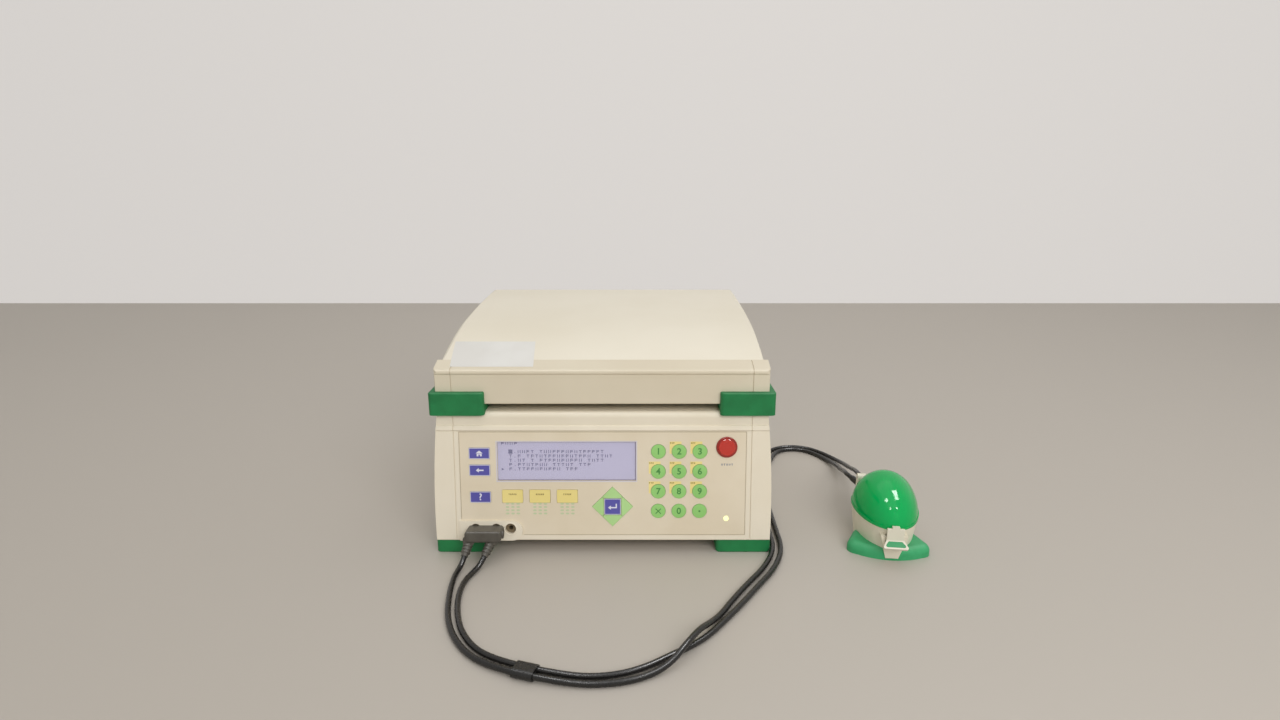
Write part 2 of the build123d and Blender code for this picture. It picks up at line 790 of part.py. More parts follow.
def main_feet():
    blocks = []
    for low, high in ((0.6, foot_length), (rear_foot_end - foot_length, rear_foot_end)):
        for side in (-1, 1):
            edge = sorted((side * (foot_half_outer - foot_width), side * foot_half_outer))
            block = slab(edge, (low, high), (0, bottom))
            block = fillet(block.edges().filter_by(Axis.Z), boot_radius)
            blocks.append(chamfer(block.edges().group_by(Axis.Z)[0], 0.8))
    return Compound(blocks)


def stacking_boots():
    """Each boot wraps a lower corner of the module and laps over the generator's top edge."""
    upper = slab((-module_half_width - gap / 3, module_half_width + gap / 3), (module_front, module_back),
                 (module_bottom, beyond))
    reach = cheek_top_half + 2
    lower = side_prism(closed([(band_setback - gap, 0), (band_setback - gap, main_top), (unit_depth + 5, main_top),
                               (unit_depth + 5, 0)], [0, top_lip, 0, 0]), reach)
    blocks = []
    for low, high in ((boot_front, boot_front + boot_length), (boot_rear_end - boot_length, boot_rear_end)):
        for side in (-1, 1):
            edge = sorted((side * (boot_half_outer - boot_width), side * boot_half_outer))
            block = slab(edge, (low, high), (boot_bottom, boot_bottom + boot_height))
            block = fillet(block.edges().filter_by(Axis.Z), boot_radius)
            block = chamfer(block.edges().group_by(Axis.Z)[-1], 0.8)
            blocks.append(block - upper - lower)
    return Compound(blocks)


# ---------------- cuvette chamber ----------------

rim_plane = Plane(origin=(0, 0, rim_height), x_dir=(1, 0, 0),
                  z_dir=(0, -sin(radians(rim_tilt)), cos(radians(rim_tilt))))


def egg(grow=0.0, size=1.0):
    """The rim's outline: two half ellipses that meet at the widest place."""
    half = egg_half_width * size + grow
    front = EllipticalCenterArc((0, egg_widest), half, egg_front * size + grow, 180, arc_size=180)
    rear = EllipticalCenterArc((0, egg_widest), half, egg_rear * size + grow, 0, arc_size=180)
    return make_face([front, rear])


def dome(grow, side):
    """One half of an egg-shaped body above the rim: side -1 is the front, 1 the rear."""
    reach = egg_front if side < 0 else egg_rear
    ball = Rot(90, 0, 0) * Rot(0, 0, -90) * Sphere(1.0)
    ball = scale(ball, by=(egg_half_width + grow, reach + grow, lid_rise + grow))
    half = ball & slab((-90, 90), sorted((0, side * 90)), (0, 90))
    return rim_plane * Pos(0, egg_widest, 0) * half


def chamber_lid():
    """Hollow dome with a rim band, a lip for the hook and a knuckle that reaches back to the hinge."""
    band = egg(lid_band_proud) - egg(-lid_wall)
    lip = Pos(0, egg_widest - egg_front) * Rectangle(hook_width + 1.6, 2 * lip_reach)
    lid = extrude(rim_plane.offset(gap) * (band + (lip - egg(-lid_wall))), lid_band)
    under = extrude(rim_plane * egg(5), gap)
    width = 2 * (knuckle_half - gap)
    knuckle = across((hinge_y, hinge_z), knuckle_radius, width)
    knuckle += slab((-width / 2, width / 2), (hinge_y - knuckle_reach, hinge_y),
                    (hinge_z - knuckle_radius, hinge_z + knuckle_radius))
    for side in (-1, 1):
        lid += dome(0, side) - dome(-lid_wall, side) - under
        knuckle -= dome(-lid_wall, side)
    return lid + knuckle - across((hinge_y, hinge_z), hinge_radius + running_gap, 60)


def lid_hinge_pin():
    return across((hinge_y, hinge_z), hinge_radius, 2 * housing_half - gap)


def hull(grow):
    """The chamber's body from the rim to the table."""
    low = Plane.XY.offset(hull_base)
    small = Pos(0, 0.5) * egg(grow, hull_base_scale)
    return loft([low * small, rim_plane * egg(grow)])


def keel():
    """The upright at the front, wider towards the rim."""
    top = rim_height - keel_drop
    side_view = [(rim_front + keel_setback, hull_base), (rim_front - 0.9, top), (rim_front + 20, top),
                 (rim_front + 26, hull_base)]
    front_view = Polyline((-keel_base_half, hull_base), (keel_base_half, hull_base), (keel_top_half, top),
                          (-keel_top_half, top), close=True)
    upright = side_prism(closed(side_view, [2.5, 0, 0, 0]), keel_top_half + 1)
    return upright & extrude(Plane.XZ * make_face(front_view), 2 * egg_front, both=True)


def across(place, radius, length):
    """A round bar along X at a (Y, Z) place."""
    return Pos(0, *place) * Rot(0, 90, 0) * Cylinder(radius, length)


def latch_pocket():
    half = latch_width / 2 + gap
    y, z = latch_pivot
    back = y + latch_knuckle + gap
    return slab((-half, half), (latch_front - 20, back), (z - latch_knuckle - gap, z + latch_knuckle + 2))


def rear_housing():
    block = slab((-housing_half, housing_half), (housing_back - housing_depth, housing_back), (housing_low, housing_top))
    return fillet(block.edges().filter_by(Axis.Z).group_by(Axis.Y)[-1], 5)


def chamber_body():
    body = hull(0) + keel() + rear_housing()
    for side in (-1, 1):
        inner = side * (knuckle_half + gap / 2)
        lug_x = sorted((inner, side * housing_half))
        lug = Pos((lug_x[0] + lug_x[1]) / 2, hinge_y, hinge_z) * Rot(0, 90, 0) * Cylinder(lug_radius, lug_x[1] - lug_x[0])
        stem = slab(lug_x, (hinge_y - lug_radius, hinge_y + lug_radius), (housing_top - 6, hinge_z))
        body += lug + stem
    above = extrude(rim_plane * (egg(lid_band_proud + gap)), 60)
    body -= above
    cavity_low = Plane.XY.offset(cavity_floor)
    cavity = loft([cavity_low * Pos(0, 2) * egg(-hull_wall, cavity_scale), rim_plane * egg(-hull_wall)])
    body -= cavity
    body -= across((hinge_y, hinge_z), knuckle_radius + gap, 2 * knuckle_half + gap)
    body -= across((hinge_y, hinge_z), hinge_radius, 60)
    body -= latch_pocket() + across(latch_pivot, latch_pin_radius, latch_pin_length)
    body -= slab((-90, 90), (-90, 90), (-20, hull_base))
    return body


def pod_foot():
    """A soft crescent round the front of the body that narrows to a sole under it."""
    tip_x, tip_y = pod_foot_tip
    waist_x, waist_y = pod_foot_waist
    right = [(0, pod_foot_nose), (tip_x, tip_y), (0.74 * tip_x, waist_y - 11), (waist_x, waist_y),
             (waist_x - 2, housing_back - 2)]
    radii = [60, 8.5, 12, 12, 9]
    left = [(-x, y) for x, y in right[:0:-1]]
    outline = closed(right + left, radii + radii[:0:-1])
    foot = extrude(outline, pod_foot_height)
    foot = fillet(foot.edges().group_by(Axis.Z)[-1], pod_foot_round)
    return foot - hull(0) - keel() - rear_housing()


def press_plane():
    """The face of the press pad, from the lever's plate down and forwards."""
    tilt = radians(press_tilt)
    return Plane(origin=(0, latch_front + 1.0, latch_pivot[1] + 1.5), x_dir=(1, 0, 0),
                 z_dir=(0, -cos(tilt), sin(tilt)))


def press_outline(inset=0.0):
    top = latch_width / 2 - inset
    low = press_half - inset
    points = [(-top, -inset), (top, -inset), (low, inset - press_length), (-low, inset - press_length)]
    return closed(points, [0, 0, 1.5, 1.5])


def latch_lever():
    """Hook, plate, knuckle and a flared press tab with a raised edge."""
    y, z = latch_pivot
    nose = rim_front - lip_reach + hook_lap
    top = rim_height + nose * tan(radians(rim_tilt)) + (lid_band + gap) / slope + gap
    back = latch_front + latch_plate
    plate = side_prism(closed([(latch_front, z - 2), (latch_front, top), (back, top), (back, z + 5.5),
                               (y, z + latch_knuckle), (y, z - latch_knuckle)], [0, 0.5, 0, 0.5, 0, 0]),
                       latch_width / 2)
    knuckle = across(latch_pivot, latch_knuckle, latch_width)
    hook = slab((-hook_width / 2, hook_width / 2), (latch_front, nose), (top, top + 1.8))
    hook += slab((-hook_width / 2, hook_width / 2), (latch_front, back), (top - 2, top + 1))
    face = press_plane()
    tab = extrude(face.offset(-1.8) * press_outline(), 1.8)
    tab += extrude(face * (press_outline() - press_outline(press_rim)), pad_thickness)
    lever = plate + knuckle + hook + tab
    return lever - across(latch_pivot, latch_pin_radius + running_gap, 60)


def latch_pad():
    return extrude(press_plane() * press_outline(press_rim + 0.1), pad_thickness)


def latch_pin():
    return across(latch_pivot, latch_pin_radius, latch_pin_length)


def cuvette_holder():
    width, depth, height = holder_size
    block = Pos(0, 0, cavity_floor + height / 2) * Box(width, depth, height)
    block = fillet(block.edges().filter_by(Axis.Z), 3)
    block = chamfer(block.edges().group_by(Axis.Z)[-1], 0.8)
    slot = slab((-cuvette_slot / 2 - contact_thickness, cuvette_slot / 2 + contact_thickness),
                (-cuvette_slot / 2, cuvette_slot / 2), (cavity_floor + slot_floor, 90))
    return block - slot


def chamber_contacts():
    """Two leaves, one on each side of the slot."""
    leaves = []
    for side in (-1, 1):
        edge = sorted((side * cuvette_slot / 2, side * (cuvette_slot / 2 + contact_thickness)))
        leaves.append(slab(edge, (-4, 4), (cavity_floor + slot_floor, cavity_floor + holder_size[2] - 1)))
    return Compound(leaves)


# ---------------- leads ----------------

def relief(base, tip, rings=0):
    """A tapered strain relief, with or without rings, from its base to its tip."""
    along = Vector(*tip) - Vector(*base)
    place = Plane(origin=base, z_dir=along)
    length = along.length
    core = Cone(relief_base / 2, relief_tip / 2, length, align=(Align.CENTER, Align.CENTER, Align.MIN))
    for ring in range(rings):
        rise = length * (0.25 + 0.7 * ring / rings)
        radius = relief_base / 2 - 0.1 * ring + 0.3
        core += Pos(0, 0, rise) * Cylinder(radius, 1.3)
    return place * core


relief_bases = {"a": (-121.0, -10.5, 20.0), "b": (-100.5, -10.5, 20.0)}
relief_tips = {"a": (-124.0, -23.0, 9.0), "b": (-106.0, -23.0, 9.0)}


def lead_plug():
    """Twin plug: moulded body with two shoulders, two pins and two strain reliefs."""
    width, height, depth = plug_size
    middle_v = jack_v - plug_drop
    body = on_face(at(jack_pair_x, middle_v) * rounded(width, height, 3), tongue_proud, tongue_proud + depth)
    body = fillet(body.edges().group_by(Axis.Y)[0], 2)
    for x, v in jack_places()[:2]:
        tip = tongue_proud - jack_recess - jack_length + 4
        body += on_face(at(x, v) * Circle(plug_pin / 2), tip, tongue_proud + 1)
    for name, base in relief_bases.items():
        shoulder = at(base[0], middle_v - height / 2 + 1.5) * rounded(*shoulder_size, 3)
        body += on_face(shoulder, tongue_proud + depth / 3, tongue_proud + depth - 1.5)
        body += relief(base, relief_tips[name], relief_rings)
    return body


def pod_point(x, y, z):
    """A place in the chamber's frame, in the frame of the whole."""
    turn = radians(-pod_turn)
    return (pod_place[0] + x * cos(turn) - y * sin(turn), pod_place[1] + x * sin(turn) + y * cos(turn), z)


entry_x = {"a": -2.0, "b": -14.5}
entry_side = -7.0            # how far the tips of the entries lie to the side
entry_reach = 15.0
entry_rise = 1.0


def entry_ends(name):
    base = pod_point(entry_x[name], housing_back, entry_z)
    tip = pod_point(entry_x[name] + entry_side, housing_back + entry_reach, entry_z + entry_rise)
    return base, tip


def chamber_plugs():
    """Moulded entries of the two leads at the rear of the chamber."""
    entries = []
    rear = Pos(*pod_place, 0) * Rot(0, 0, -pod_turn) * slab((-60, 60), (housing_back, 200), (0, 90))
    for name in entry_x:
        base, tip = entry_ends(name)
        back = Vector(*base) - (Vector(*tip) - Vector(*base)) * 0.25
        entries.append(relief(tuple(back), tip) & rear)
    return Compound(entries)


# Points of each lead from the plug to the chamber: X, Y, Z.
route_a = [
    (-127.7, -41.5, 2.6), (-127.5, -55, 2.6), (-125.4, -76, 2.6), (-120.5, -101, 2.6), (-108.5, -128, 2.6),
    (-89, -152.5, 2.6), (-62.5, -169.5, 3.9), (-33.5, -178.6, 3.9), (-4, -183.3, 2.6), (22, -181, 2.6),
    (43, -172.5, 2.6), (57, -162, 5), (67.5, -149.5, 10.2), (79, -131, 10.2), (89, -115.5, 5),
    (98.5, -101.5, 2.6), (111, -81.5, 2.6), (128.5, -57, 2.6), (150.5, -29, 2.6), (166, 3, 2.6),
    (168.5, 40, 2.6), (169.5, 83, 2.6), (171, 127, 2.6), (175, 168, 2.6), (182, 208, 2.6), (192, 238.5, 2.6),
    (202.5, 253.5, 2.6), (218, 262, 2.6), (236, 262, 2.6), (251, 254.5, 2.6), (264, 239, 2.6), (273.5, 218, 3.5),
    (277, 195, 7.5), (275, 170, 14), (271.5, 146.5, 22), (267.5, 124.5, 30), (264.8, 107.5, 35),
]
route_b = [
    (-113.5, -40.5, 2.6), (-118.2, -54, 2.6), (-118.3, -74, 2.6), (-113.5, -98.5, 2.6), (-102.5, -124, 2.6),
    (-84.5, -146.5, 2.6), (-59.5, -162.6, 3.9), (-31.5, -171.4, 3.9), (-5, -175.6, 2.6), (19, -173, 2.6),
    (39, -164.5, 2.6), (57.5, -151, 2.6), (73, -140.5, 2.6), (87, -127.5, 2.6), (101, -109, 2.6),
    (117.5, -87, 2.6), (135.5, -62, 2.6), (158, -33, 2.6), (173.5, 1, 2.6), (176, 40, 2.6), (177, 83, 2.6),
    (178.5, 126, 2.6), (182.5, 166, 2.6), (191, 206, 2.6), (200.5, 235.5, 2.6), (208.5, 247, 2.6),
    (220.5, 253.5, 2.6), (234, 253.5, 2.6), (245.5, 247.5, 2.6), (256.5, 233, 2.6), (264, 214, 3.5),
    (267, 193, 7), (264.3, 169, 13), (259.8, 146, 20.5), (255.5, 125.5, 29), (252.4, 108.5, 34.8),
]


def lead_points(name, route):
    """The whole route: straight out of the plug's relief and straight into the chamber's entry."""
    tip = Vector(*relief_tips[name])
    out = (tip - Vector(*relief_bases[name])).normalized()
    base, end = (Vector(*point) for point in entry_ends(name))
    back = (end - base).normalized()
    return [tip, tip + out * 8] + [Vector(*point) for point in route] + [end + back * 9, end]


def lead_wire(name, route):
    points = lead_points(name, route)
    radii = []
    for before, here, after in zip(points, points[1:], points[2:]):
        into = here - before
        out = after - here
        turn = into.get_angle(out)
        radii.append(0.45 * min(into.length, out.length) / tan(radians(turn / 2)))
    line = FilletPolyline(*points, radius=radii)
    start = Plane(origin=line @ 0, z_dir=line % 0)
    tube = sweep(start * Circle(cord_diameter / 2), path=line)
    section = pi * cord_diameter ** 2 / 4
    print(f"lead {name}: length {line.length:.1f}, volume over section x length "
          f"{tube.volume / section / line.length:.4f}, radii", [round(radius) for radius in radii])
    return tube


def lead_sleeve():
    """A short sleeve round both leads at the front of their loop."""
    a_from, a_to, b_from, b_to = (Vector(*point) for point in route_a[6:8] + route_b[6:8])
    along = (a_to - a_from).normalized()
    sideways = Vector(-along.Y, along.X, 0)
    apart = (b_from - a_from).dot(sideways)
    place = Plane(origin=(a_from + a_to + b_from + b_to) / 4, x_dir=sideways, z_dir=along)
    outer = SlotOverall(apart + cord_diameter + 2.4, cord_diameter + 2.4)
    for side in (-1, 1):
        outer -= Pos(side * apart / 2, 0) * Circle(cord_diameter / 2 + gap / 3)
    return extrude(place * outer, sleeve_length / 2, both=True)


# ---------------- the whole ----------------

parts = {
    "main_bezel": main_bezel(),
    "main_cover": main_cover(),
    "main_tray": main_tray(),
    "main_rear_panel": main_rear_panel(),
    "main_feet": main_feet(),
    "keypad_overlay": keypad_overlay(),
    "display_window": display_window(),
    "display_module": display_module(),
    "control_board": control_board(),
    "pulse_collar": pulse_collar(),
    "pulse_button": pulse_button(),
    "status_lamp": status_lamp(),
    "output_jacks": output_jacks(),
    "power_inlet": power_inlet(),
    "power_rocker": power_rocker(),
    "transformer": transformer(),
    "capacitor_bank": capacitor_bank(),
    "case_screws": case_screws(),
    "module_bezel": module_bezel(),
    "module_cover": module_cover(),
    "module_tray": module_tray(),
    "resistor_board": resistor_board(),
    "stacking_boots": stacking_boots(),
    "lead_plug": lead_plug(),
    "lead_wire_a": lead_wire("a", route_a),
    "lead_wire_b": lead_wire("b", route_b),
    "lead_sleeve": lead_sleeve(),
    "chamber_plugs": chamber_plugs(),
}
for name, outline in key_outlines().items():
    parts[name] = key_pad(outline)

chamber = {
    "chamber_foot": pod_foot(),
    "chamber_body": chamber_body(),
    "chamber_lid": chamber_lid(),
    "lid_hinge_pin": lid_hinge_pin(),
    "latch_lever": latch_lever(),
    "latch_pad": latch_pad(),
    "latch_pin": latch_pin(),
    "cuvette_holder": cuvette_holder(),
    "chamber_contacts": chamber_contacts(),
}
for name, solid in chamber.items():
    parts[name] = Pos(*pod_place, 0) * Rot(0, 0, -pod_turn) * solid

loose = ["lead_plug", "lead_wire_a", "lead_wire_b", "lead_sleeve", "chamber_plugs"]
box = Compound([Compound(solid.solids()) for name, solid in parts.items() if name not in loose]).bounding_box()
origin = ((box.min.X + box.max.X) / 2, (box.min.Y + box.max.Y) / 2, box.min.Z)
for name, solid in parts.items():
    moved = Pos(-origin[0], -origin[1], -origin[2]) * Compound(solid.solids())
    export_step(moved, f"parts/{name}.step")
print("origin", [round(value, 4) for value in origin], "nodes", len(parts))
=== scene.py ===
import bpy
import math
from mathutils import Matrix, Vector
from mathutils.bvhtree import BVHTree


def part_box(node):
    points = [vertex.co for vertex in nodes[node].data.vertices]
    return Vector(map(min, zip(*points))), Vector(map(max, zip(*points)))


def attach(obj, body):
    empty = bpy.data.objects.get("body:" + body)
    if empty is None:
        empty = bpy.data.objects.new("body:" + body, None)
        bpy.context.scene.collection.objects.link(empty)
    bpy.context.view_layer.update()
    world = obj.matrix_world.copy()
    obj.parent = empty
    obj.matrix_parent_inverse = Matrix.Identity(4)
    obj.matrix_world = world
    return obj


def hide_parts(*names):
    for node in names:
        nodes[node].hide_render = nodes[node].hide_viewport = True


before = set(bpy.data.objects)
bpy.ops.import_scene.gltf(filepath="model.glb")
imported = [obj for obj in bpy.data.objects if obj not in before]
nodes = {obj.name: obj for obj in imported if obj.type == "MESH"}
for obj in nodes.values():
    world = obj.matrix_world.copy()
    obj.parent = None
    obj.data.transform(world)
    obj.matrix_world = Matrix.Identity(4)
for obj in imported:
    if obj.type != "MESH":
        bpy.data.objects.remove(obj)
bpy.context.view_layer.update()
scene = bpy.context.scene
mm = 0.001
print("frame loaded with", len(nodes), "nodes")

# places are in millimetres from the generator's lower front edge, at its middle, as in the CAD source
unit = {"depth": 300, "low": 12.5, "lean": 6.5}
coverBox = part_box("main_cover")
datum = Vector(((coverBox[0].x + coverBox[1].x) / 2, coverBox[1].y - unit["depth"] * mm, 0))
lean = math.radians(unit["lean"])


def place(x, y, z):
    return datum + Vector((x, y, z)) * mm


def onFace(x, v, proud=0.0):  # x from the middle, v up the slope of the keypad face
    y = v * math.sin(lean) - proud * math.cos(lean)
    z = unit["low"] + v * math.cos(lean) + proud * math.sin(lean)
    return place(x, y, z)


# the photo's view: 0.6 m in front of the generator and a third of a metre up, looking a little down
camera = {"lens": 20.28, "spot": (34, -606.6, 342.5), "pitch": 14.5}
cameraData = bpy.data.cameras.new("camera")
cameraData.lens = camera["lens"]
cameraObject = bpy.data.objects.new("camera", cameraData)
cameraObject.location = place(*camera["spot"])
cameraObject.rotation_euler = (math.radians(90 - camera["pitch"]), 0, 0)
scene.collection.objects.link(cameraObject)
scene.camera = cameraObject


def hexColor(code):
    values = [int(code[i:i + 2], 16) / 255 for i in (1, 3, 5)]
    return (*[v / 12.92 if v <= 0.04045 else ((v + 0.055) / 1.055) ** 2.4 for v in values], 1)


def addNode(tree, kind, inputs=None, **settings):
    node = tree.nodes.new(kind)
    for name, value in settings.items():
        setattr(node, name, value)
    for name, value in (inputs or {}).items():
        if isinstance(value, bpy.types.NodeSocket):
            tree.links.new(value, node.inputs[name])
        else:
            node.inputs[name].default_value = value
    return node


def startMaterial(name, values):
    material = bpy.data.materials.new(name)
    material.use_nodes = True
    tree = material.node_tree
    shader = tree.nodes["Principled BSDF"]
    for key, value in values.items():
        shader.inputs[key].default_value = value
    where = addNode(tree, "ShaderNodeTexCoord").outputs["Object"]
    return material, tree, shader, where


def mottle(tree, where, shader, light, dark, sizeMm):
    # slow colour drift over the surface, between two close tones
    noise = addNode(tree, "ShaderNodeTexNoise", {"Vector": where, "Scale": 1000 / sizeMm, "Detail": 3.0})
    spread = addNode(tree, "ShaderNodeMapRange",
                     {"Value": noise.outputs["Fac"], "From Min": 0.35, "From Max": 0.65})
    mix = addNode(tree, "ShaderNodeMix", {"Factor": spread.outputs["Result"]}, data_type="RGBA")
    mix.inputs["A"].default_value = hexColor(light)
    mix.inputs["B"].default_value = hexColor(dark)
    tree.links.new(mix.outputs["Result"], shader.inputs["Base Color"])


def grain(tree, where, shader, sizeMm, heightMm, low, high, detail=2.0):
    # fine bumps, and a roughness that follows them
    noise = addNode(tree, "ShaderNodeTexNoise", {"Vector": where, "Scale": 1000 / sizeMm, "Detail": detail})
    bump = addNode(tree, "ShaderNodeBump",
                   {"Height": noise.outputs["Fac"], "Distance": heightMm * mm, "Strength": 1.0})
    tree.links.new(bump.outputs["Normal"], shader.inputs["Normal"])
    rough = addNode(tree, "ShaderNodeMapRange",
                    {"Value": noise.outputs["Fac"], "To Min": low, "To Max": high})
    tree.links.new(rough.outputs["Result"], shader.inputs["Roughness"])


def finish(piece, body, material):
    # every piece rides on a body and takes the finish it is given
    piece.data.materials.clear()
    piece.data.materials.append(material)
    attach(piece, body)
    return piece


def meshObject(name, corners, faces, smooth=False):
    mesh = bpy.data.meshes.new(name)
    mesh.from_pydata([tuple(c) for c in corners], [], faces)
    mesh.validate()
    piece = bpy.data.objects.new(name, mesh)
    scene.collection.objects.link(piece)
    if smooth:
        mesh.shade_smooth()
    return piece


def paint(material, *names):
    for name in names:
        mesh = nodes[name].data
        if mesh.materials:
            for i in range(len(mesh.materials)):
                mesh.materials[i] = material
        else:
            mesh.materials.append(material)


def mouldedAbs(name, light, dark, low=0.34, high=0.46):
    # moulded ABS with a spark-eroded texture: satin, with soft broad highlights
    material, tree, shader, where = startMaterial(name, {"IOR": 1.53})
    mottle(tree, where, shader, light, dark, sizeMm=90)
    # real grain is 0.3 mm, drawn coarser so that it shows
    grain(tree, where, shader, sizeMm=1.4, heightMm=0.02, low=low, high=high)
    return material


def powderCoat(name, light, dark):
    # powder-coated steel sheet: even colour with a slight orange peel, a ripple of about 2 mm
    material, tree, shader, where = startMaterial(name, {"IOR": 1.5})
    mottle(tree, where, shader, light, dark, sizeMm=160)
    grain(tree, where, shader, sizeMm=2.2, heightMm=0.03, low=0.38, high=0.5, detail=1.0)
    return material


def softRubber(name, light, dark):
    # moulded thermoplastic elastomer: matt, with a bloom of dust in the texture
    material, tree, shader, where = startMaterial(name, {"IOR": 1.5})
    mottle(tree, where, shader, light, dark, sizeMm=14)
    # real texture is 0.2 mm, drawn coarser so that it shows
    grain(tree, where, shader, sizeMm=1.0, heightMm=0.04, low=0.5, high=0.68)
    return material


def printedFilmOrShade(name, light, dark):
    # printed polyester film with a velvet front: low gloss, very even; also the finish of the painted shade
    # strips
    material, tree, shader, where = startMaterial(name, {"IOR": 1.57})
    mottle(tree, where, shader, light, dark, sizeMm=40)
    # real grain is under 0.1 mm, drawn coarser so that it shows
    grain(tree, where, shader, sizeMm=0.8, heightMm=0.008, low=0.3, high=0.4)
    return material


def glossPvc(name, light, dark, low=0.2, high=0.36):
    # moulded or extruded flexible PVC: wet-looking highlights, a little dulled by handling
    material, tree, shader, where = startMaterial(name, {"IOR": 1.54})
    mottle(tree, where, shader, light, dark, sizeMm=9)
    grain(tree, where, shader, sizeMm=3.0, heightMm=0.03, low=low, high=high)
    return material


def clearAcrylic(name, code, rough, alpha=1.0, through=0.0, coat=0.0, glow=0.0, gloss=0.5, wave=0.01):
    # moulded acrylic: hard gloss with a faint wave, lit from inside where light passes through
    material, tree, shader, where = startMaterial(name, {
        "IOR": 1.49, "Base Color": hexColor(code), "Alpha": alpha, "Transmission Weight": through,
        "Coat Weight": coat, "Emission Color": hexColor(code), "Emission Strength": glow,
        "Specular IOR Level": gloss})
    grain(tree, where, shader, sizeMm=12, heightMm=wave, low=rough, high=rough + 0.04)
    return material


def sheetMetal(name, light, dark, low=0.35, high=0.55):
    # rolled or drawn metal: satin, with a faint direction from the rolls
    material, tree, shader, where = startMaterial(name, {"Metallic": 1.0})
    stretch = addNode(tree, "ShaderNodeMapping", {"Vector": where, "Scale": (1.0, 1.0, 14.0)})
    mottle(tree, stretch.outputs["Vector"], shader, light, dark, sizeMm=30)
    grain(tree, stretch.outputs["Vector"], shader, sizeMm=6, heightMm=0.004, low=low, high=high)
    return material


def lcdScreen(name, code, glowCode, glow):
    # backlit LCD behind its window: lavender, glowing a little; its cells of 0.4 mm are drawn coarser
    material, tree, shader, where = startMaterial(name, {
        "IOR": 1.5, "Base Color": hexColor(code), "Emission Color": hexColor(glowCode),
        "Emission Strength": glow})
    grain(tree, where, shader, sizeMm=0.9, heightMm=0.01, low=0.3, high=0.4)
    return material


creamAbs = mouldedAbs("creamMouldedAbs", "#ede4d1", "#e8dec9")
# the module's bezel is the same cream ABS, made darker as painted shade for its front faces
moduleAbsPaintedShade = mouldedAbs("creamModuleAbsPaintedShade", "#ded4be", "#d9ceb7")
creamCoat = powderCoat("creamPowderCoat", "#ece5d4", "#e7dfcc")
podAbs = mouldedAbs("creamChamberAbs", "#ebe5d3", "#e4ddc9")
greenRubber = softRubber("greenElastomer", "#1c8047", "#17733f")
paleGreenRubber = softRubber("greenElastomerFoot", "#3aa86d", "#329d63")
padRubber = softRubber("greenLatchPad", "#35a266", "#2c945a")
film = printedFilmOrShade("beigePrintedFilm", "#e6dac3", "#e1d4bb")
greenPrint = printedFilmOrShade("greenKeyPrint", "#9bd57c", "#92cd74")
haloPrint = printedFilmOrShade("paleLavenderPrint", "#d3d2e6", "#cccbe1")
bluePrint = printedFilmOrShade("blueKeyPrint", "#5a58ac", "#5350a3")
yellowPrint = printedFilmOrShade("yellowKeyPrint", "#f5e499", "#efdd8d")
arrowPrint = printedFilmOrShade("arrowKeyPrint", "#b6df96", "#aed88d")
palePrint = printedFilmOrShade("paleGreenPrint", "#cbd6ae", "#c5d1a7")
whitePrint = printedFilmOrShade("whitePrint", "#e6e6f2", "#dfdfee")
borderPrint = printedFilmOrShade("paleBorderPrint", "#dcd7dc", "#d7d1d8")
brownInk = printedFilmOrShade("brownInk", "#8a7038", "#806832")
greenInk = printedFilmOrShade("greenInk", "#4c9447", "#478c43")
blueGreyInk = printedFilmOrShade("blueGreyInk", "#7f8597", "#787e90")
lcdInk = printedFilmOrShade("displayInk", "#5f5d90", "#585688")
# painted shade: dark strips standing for the window's shadow along the display's edges
lcdShade = printedFilmOrShade("displayShade", "#9c93b4", "#958cae")
# painted shade: a dark line standing for the shadow in the overlay's gap round its recess
overlayGapShade = printedFilmOrShade("overlayGapPaintedShade", "#a9997c", "#a19174")
blackPvc = glossPvc("blackPvc", "#1c1a19", "#141312")
plugPvc = glossPvc("plugPvc", "#5a564e", "#4c4841", 0.36, 0.5)
jackBrown = mouldedAbs("brownJackAbs", "#7b6c54", "#6f614b", 0.3, 0.42)
blackAbs = mouldedAbs("blackMouldedAbs", "#1b1b1c", "#141415", 0.3, 0.42)
redAcrylic = clearAcrylic("redButtonAcrylic", "#c03024", 0.16, coat=0.4)
redRing = mouldedAbs("redCollarAbs", "#a32f26", "#982a22", 0.3, 0.4)
domeAcrylic = clearAcrylic("greenDomeAcrylic", "#00c264", 0.05, through=0.3, gloss=0.3, wave=0.002)
lampLens = clearAcrylic("clearLampLens", "#eef0c0", 0.12, through=0.2, glow=0.5)
windowPane = clearAcrylic("hardCoatedWindow", "#cfcdda", 0.22, alpha=0.16)
latchWhite = mouldedAbs("whiteLatchAcetal", "#e4dfce", "#dcd7c4")
holderWhite = mouldedAbs("whiteHolderAcetal", "#e8e5da", "#dedacd")
zinc = sheetMetal("zincPlatedSheet", "#bdbcb8", "#b4b3af")
screwZinc = sheetMetal("zincScrewSteel", "#c4c2ba", "#b3b1aa", 0.25, 0.4)
gold = sheetMetal("goldPlatedContact", "#d8b25a", "#c9a24b", 0.2, 0.35)
coreSteel = sheetMetal("varnishedCoreSteel", "#4a4640", "#3c3934", 0.5, 0.7)
canAluminium = sheetMetal("sleevedCanAluminium", "#8f9199", "#83858d", 0.3, 0.45)
board = mouldedAbs("solderMaskBoard", "#1c5a35", "#17502e")
paper = printedFilmOrShade("whiteLabelPaper", "#e4e3df", "#dedcd7")
screen = lcdScreen("lavenderLcd", "#b9b5cb", "#b7b4d6", 0.3)

